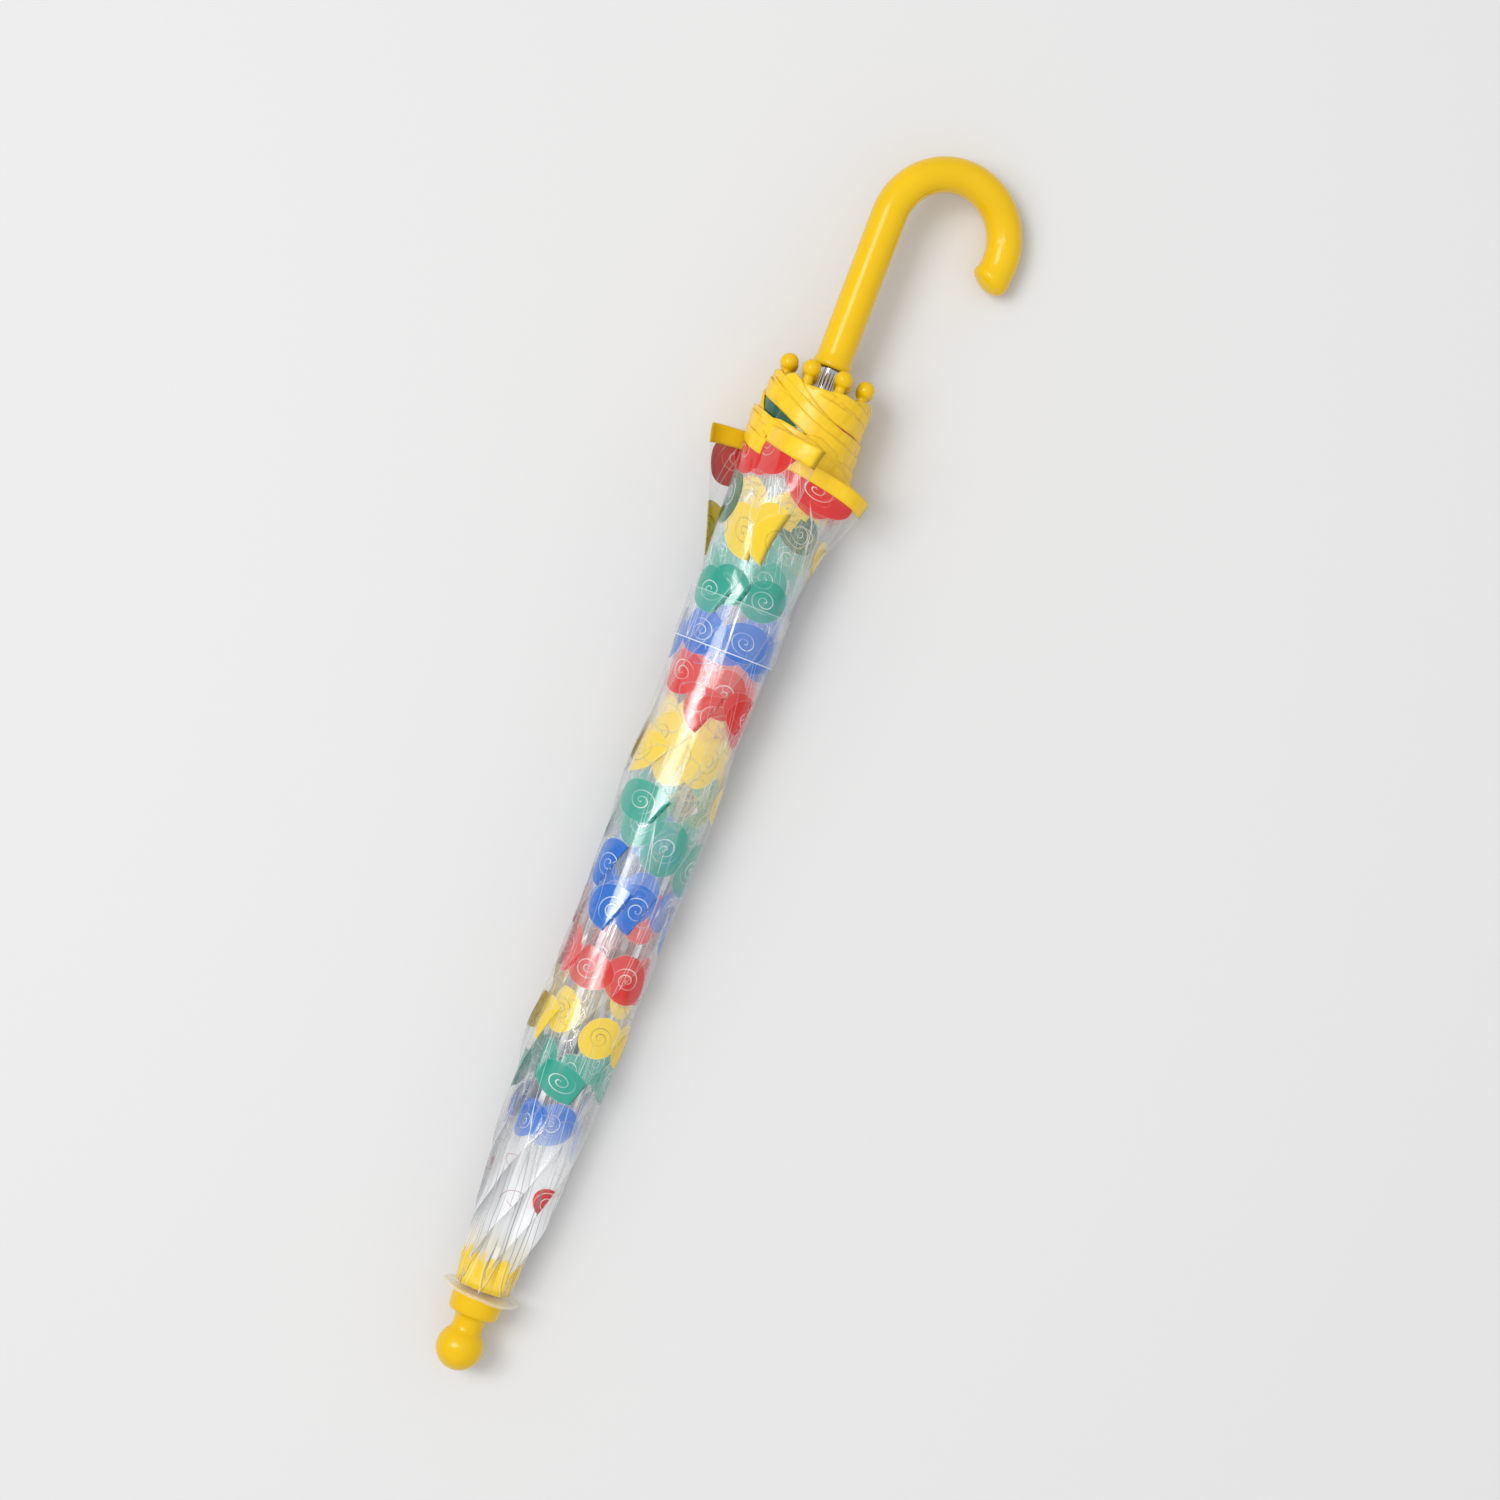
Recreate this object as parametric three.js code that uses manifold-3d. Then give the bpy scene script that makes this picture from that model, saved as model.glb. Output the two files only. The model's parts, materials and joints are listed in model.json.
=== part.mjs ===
// Children's stick umbrella with a clear dome canopy, closed, rolled and lying on its side.
// Millimetres, +Z up. The shaft runs along +X from the ball ferrule to the crook handle.
// The origin is the middle of the bounding box on the surface that the umbrella lies on.
// Inside `umbrella`, X is measured from the centre of the ball, on the shaft's own axis.
import * as THREE from 'three';
import * as BufferGeometryUtils from 'three/addons/utils/BufferGeometryUtils.js';
import Module from 'manifold-3d';

const wasm = await Module();
wasm.setup();
const degrees = THREE.MathUtils.degToRad;

// ---------- Driving dimensions ----------

const fit = 0.3;                    // gap between two pieces that seat on each other

const shaft = { radius: 4, wall: 0.6, start: 12, insert: 59.5 };
const ball = { radius: 11.6, neckRadius: 7.6, neckEnd: 15.8 };
const collar = { radius: 13, rootRadius: 11.8, end: 28 };
const washer = { radius: 19.75, thickness: 1.5, dish: 1.2 };

const ribCount = 8;
const firstRib = -22.5;             // azimuth of rib 1, from +Y towards +Z, in degrees
const pivotRadius = 9;              // wire rings that the ribs and stretchers hang on
const rib = {
  length: 465, width: 3, below: 1.2, above: 2.1, wall: 0.5, tongue: 1.6, eye: 1.7, startGap: 1.5,
};
const closedAngle = 1.5;            // a closed rib to the shaft, in degrees
const openAngle = 65;
const stretcherAt = 204;            // rib pivot to stretcher rivet, and the stretcher's own length
const stretcher = { width: 1.4, height: 2.4, hookWall: 0.7 };
const wire = { radius: 0.5, clearance: 0.3 };
const rivet = { radius: 0.7, head: 1.25, headHeight: 0.6 };
const tip = { ballRadius: 4.5, stemRadius: 2.5, stemLength: 12, pinRadius: 1, pinLength: 8 };

const notch = {
  gap: 1.7, rim: 1.8, pivotDepth: 5, slotDepth: 2.8, flange: 11, length: 20, hubGap: 1.3, slot: 2.4,
};
const notchPin = { depth: 15.5, radius: 0.75, stub: 0.1 };
const runner = { wall: 2.5, rim: 2.4, front: 5, flange: 10, back: 43, slot: 3.2 };
const keyway = { width: 2.6 };
const topCatchGap = 3.1;            // from the opened runner to the hook that holds it
const bottomCatchBack = 27.1;       // from the closed runner's wire to the hook inside the runner
const hook = { length: 7, width: 1.6, rise: 2.1 };
const catchSpring = { length: 12, bottom: -0.6, top: 0.5 };
const stopPin = { gap: 1.2, radius: 0.8, stub: 1.5 };

const grip = { radius: 8.8, gap: 0.2, straight: 79.5, crookRadius: 31, sweep: 198 };
const gripMouth = { radius: 9.5, length: 4, recessRadius: 6.6, recessDepth: 3 };
const gripBead = { radius: 9.6, length: 7 };

const film = { thickness: 1.2, split: 0.2, crownEdge: 0.4, crownRadius: 14.2 };
const canopySides = 32;             // flats round the rolled canopy and its strap
const waistRadius = 24.6;           // rolled canopy under the strap
// Outline of the rolled canopy: how far down the ribs, as a share of a rib, and radius.
const bundleOutline = [
  [0.017, 15], [0.069, 18.8], [0.144, 22], [0.262, 24.5], [0.391, 23.2], [0.542, 25],
  [0.606, 23.5], [0.692, waistRadius], [0.751, waistRadius], [0.783, 28], [0.843, 35],
];
const flare = { share: 0.92, radius: 43 };
const hemRoll = { back: 8.8, room: 1.9, taper: 1 };

const strap = { share: 0.695, width: 25, thickness: 0.8, gap: 0.4 };
const strapTab = { root: -18, end: -56, thickness: 0.8, width: 20 };
const snap = {
  azimuth: -46, capRadius: 5.5, capHeight: 2.2, studRadius: 4.2, studHeight: 0.6, postRadius: 1.6, postTop: 1,
};

const lying = { tilt: 1 };          // the shaft to the surface, in degrees

const colours = {
  yellow: 0xf5cf13, clear: 0xe9eef0, steel: 0xc9ccd0, white: 0xe6e6e2,
};

// ---------- Sizes that follow ----------

const bore = shaft.radius + fit;
const washerX = collar.end + fit;
const crownX = washerX + washer.thickness + fit;
const notchFront = crownX + film.thickness + notch.gap;
const notchBack = notchFront + notch.flange;
const notchPinX = notchFront + notchPin.depth;
const notchHub = pivotRadius - rib.below - notch.hubGap;
const pivotX = notchFront + notch.pivotDepth;
const closed = degrees(closedAngle);
const tipX = pivotX + rib.length * Math.cos(closed);
const hemEnd = tipX - hemRoll.back;
const hemRadius = ribRadiusAt(hemEnd) + tip.stemRadius + hemRoll.room + film.thickness;
const strapStart = pivotX + strap.share * rib.length;
const strapMiddle = strapStart + strap.width / 2;
const runnerX = pivotX + 2 * stretcherAt * Math.cos(closed);
const openRunnerX = pivotX + 2 * stretcherAt * Math.cos(degrees(openAngle));
const topCatchX = openRunnerX + runner.back + topCatchGap;
const bottomCatchX = runnerX + bottomCatchBack;
const stopPinX = openRunnerX - runner.front - stopPin.gap - stopPin.radius;
const gripStart = tipX + tip.ballRadius + grip.gap;
const gripBend = gripStart + grip.straight;
const shaftEnd = gripStart + shaft.insert;
const hookTop = shaft.radius + hook.rise;
const slope = Math.tan(degrees(lying.tilt));

// Distance from the shaft's axis down to the surface, at x: the washer's edge lies on it.
function depthAt(x) {
  return washer.radius + (x - washerX) * slope;
}

// Distance from the shaft's axis out to a closed rib's own line, at x.
function ribRadiusAt(x) {
  return pivotRadius + (x - pivotX) * Math.tan(closed);
}

const crookDrop = depthAt(gripBend) - gripBead.radius;
const crookRoll = Math.asin(crookDrop / (2 * grip.crookRadius));

// ---------- Shapes ----------

function toSolid(geometry) {
  const bare = geometry.clone();
  bare.deleteAttribute('normal');
  bare.deleteAttribute('uv');
  const merged = BufferGeometryUtils.mergeVertices(bare, 1e-4);
  return new wasm.Manifold(new wasm.Mesh({
    numProp: 3,
    vertProperties: new Float32Array(merged.attributes.position.array),
    triVerts: new Uint32Array(merged.index.array),
  }));
}

function toGeometry(solid) {
  const mesh = solid.getMesh();
  const geometry = new THREE.BufferGeometry();
  geometry.setAttribute('position', new THREE.BufferAttribute(mesh.vertProperties, 3));
  geometry.setIndex(new THREE.BufferAttribute(mesh.triVerts, 1));
  geometry.computeVertexNormals();
  return geometry;
}

// A turned piece on the shaft's axis. Points are [x, radius]: the outside towards +X, then back.
function turned(points, sides = 24) {
  const profile = points.map(([x, radius]) => new THREE.Vector2(radius, x));
  profile.push(profile[0].clone());
  return new THREE.LatheGeometry(profile, sides).rotateZ(-Math.PI / 2);
}

function turnedRing(x0, x1, inner, outer, sides = 24) {
  return turned([[x0, outer], [x1, outer], [x1, inner], [x0, inner]], sides);
}

function turnedRod(x0, x1, radius, sides = 24) {
  return turned([[x0, 0], [x0, radius], [x1, radius], [x1, 0]], sides);
}

function ringWire(x, radius, thick, sides) {
  return new THREE.TorusGeometry(radius, thick, sides, 24).rotateY(Math.PI / 2).translate(x, 0, 0);
}

function box(x0, x1, y0, y1, z0, z1) {
  const geometry = new THREE.BoxGeometry(x1 - x0, y1 - y0, z1 - z0);
  return geometry.translate((x0 + x1) / 2, (y0 + y1) / 2, (z0 + z1) / 2);
}

// A rod along Y through the point (x, z).
function crossRod(x, z, radius, length, sides = 8) {
  return new THREE.CylinderGeometry(radius, radius, length, sides).translate(x, 0, z);
}

function outline(points) {
  return new THREE.Shape(points.map(([x, y]) => new THREE.Vector2(x, y)));
}

// A flat plate: its outline lies in X and Z, and its thickness is centred on Y = 0.
function plate(shape, width) {
  const options = { depth: width, bevelEnabled: false, curveSegments: 4 };
  const geometry = new THREE.ExtrudeGeometry(shape, options);
  return geometry.translate(0, 0, -width / 2).rotateX(Math.PI / 2);
}

// A bar along +X: its section is given in Y and Z.
function bar(shape, x0, x1) {
  const options = { depth: x1 - x0, bevelEnabled: false, curveSegments: 6 };
  const geometry = new THREE.ExtrudeGeometry(shape, options);
  const turn = new THREE.Matrix4().makeBasis(
    new THREE.Vector3(0, 1, 0), new THREE.Vector3(0, 0, 1), new THREE.Vector3(1, 0, 0));
  return geometry.applyMatrix4(turn).translate(x0, 0, 0);
}

// ---------- Materials and scene ----------

const finishes = {
  yellow: { color: colours.yellow, roughness: 0.28, metalness: 0 },
  clear: { color: colours.clear, roughness: 0.12, metalness: 0, transparent: true, opacity: 0.35 },
  steel: { color: colours.steel, roughness: 0.2, metalness: 1 },
  white: { color: colours.white, roughness: 0.4, metalness: 0 },
};

const umbrella = new THREE.Group();

function place(name, geometry, finish, parent = umbrella) {
  const mesh = new THREE.Mesh(geometry, new THREE.MeshStandardMaterial(finishes[finish]));
  mesh.name = name;
  parent.add(mesh);
  return mesh;
}

// ---------- Shaft, ferrule and crown ----------

function shaftTube() {
  let tube = toSolid(turnedRing(shaft.start, shaftEnd, shaft.radius - shaft.wall, shaft.radius));
  tube = tube.subtract(toSolid(crossRod(notchPinX, 0, notchPin.radius + fit, 3 * shaft.radius)));
  tube = tube.subtract(toSolid(crossRod(stopPinX, 0, stopPin.radius + fit, 3 * shaft.radius)));
  const half = hook.width / 2 + fit;
  for (const x of [topCatchX, bottomCatchX]) {
    const window = box(x - fit, x + hook.length + fit, -half, half, shaft.radius / 2, hookTop);
    tube = tube.subtract(toSolid(window));
  }
  return toGeometry(tube);
}

function ferrule() {
  const ballEnd = Math.sqrt(ball.radius ** 2 - ball.neckRadius ** 2);
  const start = -Math.PI / 2;
  const stop = Math.atan2(ballEnd, ball.neckRadius);
  const steps = 12;
  const points = [];
  for (let i = 0; i <= steps; i += 1) {
    const angle = start + (stop - start) * i / steps;
    const radius = i === 0 ? 0 : ball.radius * Math.cos(angle);
    points.push([ball.radius * Math.sin(angle), radius]);
  }
  points.push([ball.neckEnd, ball.neckRadius]);
  points.push([ball.neckEnd + 1.5, collar.rootRadius]);
  points.push([collar.end - 5, collar.radius - 1]);
  points.push([collar.end - 1.5, collar.radius]);
  points.push([collar.end, collar.radius - 0.6]);
  points.push([collar.end, bore]);
  points.push([shaft.start - fit, bore]);
  points.push([shaft.start - fit, 0]);
  return turned(points, 28);
}

function crownWasher() {
  const { radius, thickness, dish } = washer;
  const x = washerX;
  return turned([
    [x, bore], [x, radius * 0.6], [x - dish, radius - 0.5], [x - dish + thickness / 2, radius],
    [x - dish + thickness, radius - 0.5], [x + thickness, radius * 0.6], [x + thickness, bore],
  ], 32);
}

// Eight slots, cut from x0 to x1 and outwards from the given radius.
function radialSlots(solid, x0, x1, floor, width) {
  let slotted = solid;
  for (let i = 0; i < ribCount; i += 1) {
    const slot = box(x0, x1, -width / 2, width / 2, floor, floor + 12);
    slotted = slotted.subtract(toSolid(slot.rotateX(azimuthOf(i) - Math.PI / 2)));
  }
  return slotted;
}

function azimuthOf(index) {
  return degrees(firstRib + index * 360 / ribCount);
}

function topNotch() {
  const radius = pivotRadius + notch.rim;
  const hubBack = notchFront + notch.length;
  let solid = toSolid(turned([
    [notchFront, radius], [notchBack, radius], [notchBack, notchHub],
    [hubBack, notchHub], [hubBack, bore], [notchFront, bore],
  ]));
  const floor = pivotRadius - rib.eye - fit;
  solid = radialSlots(solid, notchFront + notch.slotDepth, notchBack + 1, floor, notch.slot);
  solid = solid.subtract(toSolid(ringWire(pivotX, pivotRadius, wire.radius + wire.clearance, 6)));
  return toGeometry(solid.subtract(toSolid(crossRod(notchPinX, 0, notchPin.radius + fit, 3 * notchHub))));
}

// ---------- Runner and catches ----------

function runnerBody() {
  const flangeRadius = pivotRadius + runner.rim;
  const sleeveRadius = bore + runner.wall;
  const front = runnerX - runner.front;
  const flangeEnd = front + runner.flange;
  const back = runnerX + runner.back;
  let solid = toSolid(turned([
    [front, flangeRadius], [flangeEnd, flangeRadius], [flangeEnd, sleeveRadius],
    [back - 2, sleeveRadius], [back, sleeveRadius - 1], [back, bore], [front, bore],
  ]));
  solid = radialSlots(solid, front - 1, flangeEnd + 1, sleeveRadius, runner.slot);
  solid = solid.subtract(toSolid(ringWire(runnerX, pivotRadius, wire.radius + wire.clearance, 6)));
  const half = keyway.width / 2;
  const keywaySolid = toSolid(box(front - 1, back + 1, -half, half, 0, hookTop + fit));
  return toGeometry(solid.subtract(keywaySolid));
}

// A sprung hook inside the shaft. `facing` is -1 when its square shoulder faces the ferrule.
function catchHook(x, facing) {
  const { bottom, top, length } = catchSpring;
  const shoulder = facing < 0 ? x : x + hook.length;
  const rampEnd = facing < 0 ? x + hook.length : x;
  const away = -facing;
  const points = [
    [shoulder, bottom], [rampEnd + away * length, bottom], [rampEnd + away * length, top],
    [rampEnd, top], [rampEnd, shaft.radius - 0.5], [shoulder + away * 2.2, hookTop],
    [shoulder, hookTop],
  ];
  return plate(outline(points), hook.width);
}

// ---------- Handle ----------

// Centreline of the handle, from its mouth round the crook, by length.
class CrookLine extends THREE.Curve {
  getPoint(t, target = new THREE.Vector3()) {
    const straight = gripBend - gripStart;
    const arc = grip.crookRadius * degrees(grip.sweep);
    const along = t * (straight + arc);
    if (along <= straight) {
      return target.set(gripStart + along, 0, 0);
    }
    const angle = (along - straight) / grip.crookRadius;
    const x = gripBend + grip.crookRadius * Math.sin(angle);
    return target.set(x, -grip.crookRadius * (1 - Math.cos(angle)), 0);
  }
}

function handle() {
  const section = new THREE.Shape().absarc(0, 0, grip.radius, 0, 2 * Math.PI);
  const rod = new THREE.ExtrudeGeometry(section, {
    steps: 30, curveSegments: 8, bevelEnabled: false, extrudePath: new CrookLine(),
  });
  let solid = toSolid(rod);
  const mouthEnd = gripStart + gripMouth.length;
  solid = solid.add(toSolid(turned([
    [gripStart, 0], [gripStart, gripMouth.radius - 0.5], [gripStart + 0.8, gripMouth.radius],
    [mouthEnd - 0.8, gripMouth.radius], [mouthEnd, grip.radius - 0.5], [mouthEnd, 0],
  ])));
  solid = solid.add(toSolid(crookBead()));
  solid = solid.subtract(toSolid(turnedRod(gripStart - 1, shaftEnd + fit, bore)));
  const recess = turnedRod(gripStart - 1, gripStart + gripMouth.recessDepth, gripMouth.recessRadius);
  return toGeometry(solid.subtract(toSolid(recess)));
}

function crookBead() {
  const bead = new THREE.SphereGeometry(gripBead.radius, 16, 10);
  bead.scale(gripBead.length / gripBead.radius, 1, 1);
  const sweep = degrees(grip.sweep);
  bead.rotateZ(-sweep);
  const x = gripBend + grip.crookRadius * Math.sin(sweep);
  return bead.translate(x, -grip.crookRadius * (1 - Math.cos(sweep)), 0);
}

// ---------- Ribs, stretchers and tips ----------

function channelSection() {
  const { width, wall } = rib;
  const half = width / 2;
  const inner = half - wall;
  const low = -rib.below;
  const high = rib.above;
  return outline([
    [-half, low], [-inner, low], [-inner, high - wall], [inner, high - wall], [inner, low],
    [half, low], [half, high], [-half, high],
  ]);
}

// Along +X from its pivot, with the channel open towards the shaft.
function ribBar() {
  const channelEnd = rib.length - tip.stemLength - fit;
  const channelStart = notchBack - pivotX + rib.startGap;
  let solid = toSolid(bar(channelSection(), channelStart, channelEnd));
  const tongueEnd = channelStart + 4;
  const tongue = outline([[0, -rib.eye], [tongueEnd, -rib.below], [tongueEnd, rib.eye], [0, rib.eye]]);
  solid = solid.add(toSolid(plate(tongue, rib.tongue)));
  solid = solid.add(toSolid(crossRod(0, 0, rib.eye, rib.tongue, 12)));
  const plug = (rib.width - rib.wall) / 2;
  const plugTop = rib.above - rib.wall / 2;
  solid = solid.add(toSolid(box(channelStart, tongueEnd, -plug, plug, -rib.below, plugTop)));
  solid = solid.add(toSolid(box(channelEnd - 5, channelEnd, -plug, plug, -rib.below, plugTop)));
  const pinEnd = channelEnd + fit + tip.pinLength;
  solid = solid.add(toSolid(turnedRod(channelEnd - 2, pinEnd, tip.pinRadius, 10)));
  solid = solid.subtract(toSolid(crossRod(0, 0, wire.radius + wire.clearance, 6)));
  return toGeometry(solid.subtract(toSolid(crossRod(stretcherAt, 0, rivet.radius + fit, 9))));
}

// Along +X from its rivet to the hook that rests on the runner's wire.
function stretcherBar() {
  const half = stretcher.height / 2;
  const seat = wire.radius + wire.clearance;
  const hook = seat + stretcher.hookWall;
  const end = stretcherAt;
  const shape = new THREE.Shape();
  shape.moveTo(0, -half);
  shape.lineTo(end - 14, -half);
  shape.lineTo(end - 6, seat);
  shape.lineTo(end, seat);
  shape.absarc(end, 0, seat, Math.PI / 2, 0, true);
  shape.lineTo(end + hook, 0);
  shape.absarc(end, 0, hook, 0, Math.PI / 2, false);
  shape.lineTo(end - 6, hook);
  shape.lineTo(end - 14, half);
  shape.lineTo(0, half);
  shape.absarc(0, 0, half, Math.PI / 2, 1.5 * Math.PI, false);
  const solid = toSolid(plate(shape, stretcher.width));
  return toGeometry(solid.subtract(toSolid(crossRod(0, 0, rivet.radius + fit, 6))));
}

function ribRivet() {
  const inside = rib.width / 2 + fit;
  const outside = inside + rivet.headHeight;
  const half = [[-outside, rivet.head], [-inside, rivet.head], [-inside, rivet.radius]];
  const other = half.map(([x, radius]) => [-x, radius]).reverse();
  const ends = [[-outside, 0], ...half, ...other, [outside, 0]];
  return turned(ends, 8).rotateZ(Math.PI / 2);
}

// A ball on a short stem, bored for the pin at the rib's end.
function ribTip() {
  const start = rib.length - tip.stemLength;
  const ballStart = rib.length - Math.sqrt(tip.ballRadius ** 2 - tip.stemRadius ** 2);
  const points = [[start, tip.stemRadius]];
  const from = Math.atan2(ballStart - rib.length, tip.stemRadius);
  const steps = 4;
  for (let i = 0; i <= steps; i += 1) {
    const angle = from + (Math.PI / 2 - from) * i / steps;
    const radius = i === steps ? 0 : tip.ballRadius * Math.cos(angle);
    points.push([rib.length + tip.ballRadius * Math.sin(angle), radius]);
  }
  const boreEnd = start + tip.pinLength + fit;
  points.push([boreEnd, 0], [boreEnd, tip.pinRadius + fit], [start, tip.pinRadius + fit]);
  return turned(points, 10);
}

// ---------- Canopy ----------

// The part of a turned solid that is above the surface, lifted by `lift`.
function pressed(geometry, lift) {
  const block = box(-100, 900, -200, 200, 0, 400);
  block.applyMatrix4(new THREE.Matrix4().makeRotationY(degrees(lying.tilt)));
  block.translate(washerX, 0, -washer.radius + lift);
  return toSolid(geometry).intersect(toSolid(block));
}

function canopyShell() {
  const t = film.thickness;
  const strapRoom = strap.thickness + strap.gap;
  const edge = bore + film.crownEdge;
  const wide = hemRadius + hemRoll.taper;
  const flareX = pivotX + flare.share * rib.length;
  const body = bundleOutline.map(([share, radius]) => [pivotX + share * rib.length, radius]);
  const outside = [
    [crownX, edge], [crownX, film.crownRadius], [crownX + 1, film.crownRadius + 0.6], ...body,
    [flareX, flare.radius], [flareX + t, flare.radius], [flareX + t, wide],
    [hemEnd, hemRadius], [hemEnd, edge],
  ];
  const inside = [
    [crownX + t, 0], [crownX + t, film.crownRadius - 1], ...body.map(([x, radius]) => [x, radius - t]),
    [flareX, flare.radius - t - 0.4], [flareX, wide - t], [hemEnd + 1, hemRadius - t], [hemEnd + 1, 0],
  ];
  const shell = pressed(turned(outside, canopySides), strapRoom);
  return shell.subtract(pressed(turned(inside, canopySides), strapRoom + t));
}

// One eighth of the rolled canopy, over one rib.
function canopyPanel(shell, index) {
  const reach = 90;
  const half = Math.PI / ribCount;
  const apex = film.split / Math.sin(half);
  const wedge = bar(outline([
    [0, apex], [reach * Math.tan(half), reach + apex], [-reach * Math.tan(half), reach + apex],
  ]), 0, tipX);
  wedge.rotateX(azimuthOf(index) - Math.PI / 2);
  return toGeometry(shell.intersect(toSolid(wedge)));
}

// ---------- Closure strap ----------

const strapRadius = waistRadius + strap.gap;

function tieStrap() {
  const { width, thickness } = strap;
  const end = strapStart + width;
  const outer = pressed(turnedRod(strapStart, end, strapRadius + thickness, canopySides), 0);
  const inner = turnedRod(strapStart - 1, end + 1, strapRadius, canopySides);
  return toGeometry(outer.subtract(pressed(inner, thickness)));
}

const tabRadius = strapRadius + strap.thickness + fit + snap.studHeight + fit;

// A curved strip of the given radii, from one azimuth to another.
function curvedStrip(inner, outer, from, to, x0, x1) {
  const shape = new THREE.Shape();
  shape.absarc(0, 0, outer, degrees(from), degrees(to), true);
  shape.absarc(0, 0, inner, degrees(to), degrees(from), false);
  return bar(shape, x0, x1);
}

// Turns a piece made on +Z at the shaft's axis to the press stud's azimuth.
function atSnap(geometry) {
  return geometry.rotateX(degrees(snap.azimuth) - Math.PI / 2).translate(strapMiddle, 0, 0);
}

// A round piece standing on +Z, from [height, radius] points.
function standing(points, sides = 16) {
  return turned(points, sides).rotateY(-Math.PI / 2);
}

function strapTabStrip() {
  const half = strapTab.width / 2;
  const strip = curvedStrip(tabRadius, tabRadius + strapTab.thickness, strapTab.root, strapTab.end,
    strapMiddle - half, strapMiddle + half);
  const socket = snap.postRadius + 2 * fit;
  const beyond = 2 * tabRadius;
  const hole = standing([[0, 0], [0, socket], [beyond, socket], [beyond, 0]]);
  return toGeometry(toSolid(strip).subtract(toSolid(atSnap(hole))));
}

function snapStud() {
  const base = strapRadius + strap.thickness + fit;
  const top = tabRadius + strapTab.thickness + snap.postTop;
  return atSnap(standing([
    [base, 0], [base, snap.studRadius], [base + snap.studHeight, snap.studRadius],
    [base + snap.studHeight, snap.postRadius], [top, snap.postRadius], [top, 0],
  ]));
}

function snapCap() {
  const base = tabRadius + strapTab.thickness + fit;
  const top = base + snap.capHeight;
  const socket = snap.postRadius + 2 * fit;
  const socketTop = tabRadius + strapTab.thickness + snap.postTop + fit;
  return atSnap(standing([
    [socketTop, 0], [socketTop, socket], [base, socket], [base, snap.capRadius],
    [top - 0.8, snap.capRadius], [top, snap.capRadius - 1.2], [top, 0],
  ]));
}

// ---------- Assembly ----------

place('shaft_tube', shaftTube(), 'steel');
place('ferrule', ferrule(), 'yellow');
place('crown_washer', crownWasher(), 'clear');
place('top_notch', topNotch(), 'white');
place('top_notch_wire', ringWire(pivotX, pivotRadius, wire.radius, 6), 'steel');
const notchPinLength = 2 * (notchHub + notchPin.stub);
place('notch_pin', crossRod(notchPinX, 0, notchPin.radius, notchPinLength), 'steel');
const stopPinLength = 2 * (shaft.radius + stopPin.stub);
place('stop_pin', crossRod(stopPinX, 0, stopPin.radius, stopPinLength), 'steel');
place('runner', runnerBody(), 'white');
place('runner_wire', ringWire(runnerX, pivotRadius, wire.radius, 6), 'steel');
place('top_catch', catchHook(topCatchX, -1), 'steel');
place('bottom_catch', catchHook(bottomCatchX, 1), 'steel');
place('handle', handle(), 'yellow').rotation.x = crookRoll;

const shell = canopyShell();
for (let i = 0; i < ribCount; i += 1) {
  const spoke = new THREE.Group();
  spoke.rotation.x = azimuthOf(i) - Math.PI / 2;
  const blade = new THREE.Group();
  blade.position.set(pivotX, 0, pivotRadius);
  blade.rotation.y = -closed;
  place(`rib_${i + 1}`, ribBar(), 'steel', blade);
  place(`rib_tip_${i + 1}`, ribTip(), 'yellow', blade);
  place(`rib_rivet_${i + 1}`, ribRivet(), 'steel', blade).position.x = stretcherAt;
  const arm = place(`stretcher_${i + 1}`, stretcherBar(), 'steel', blade);
  arm.position.x = stretcherAt;
  arm.rotation.y = 2 * closed;
  spoke.add(blade);
  umbrella.add(spoke);
  place(`canopy_panel_${i + 1}`, canopyPanel(shell, i), 'clear');
}

place('tie_strap', tieStrap(), 'clear');
place('strap_tab', strapTabStrip(), 'clear');
place('snap_stud', snapStud(), 'white');
place('snap_cap', snapCap(), 'white');

umbrella.rotation.y = -degrees(lying.tilt);

const part = new THREE.Group();
part.add(umbrella);
const extent = new THREE.Box3().setFromObject(part, true);
const centre = extent.getCenter(new THREE.Vector3());
umbrella.position.set(-centre.x, -centre.y, -extent.min.z);

export default part;
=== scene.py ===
"""Looks of a child's clear dome umbrella: closed, rolled and lying on a pale table.

Every piece is made in the umbrella's own frame, in metres. X runs along the shaft from the centre of the
ball ferrule to the crook, and the azimuth about it goes from +Y towards +Z. STAND takes that frame to the
packed one.
"""

import json
from math import acos, atan2, cos, hypot, pi, radians, sin, sqrt, tan

import bpy
from mathutils import Matrix, Vector

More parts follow.
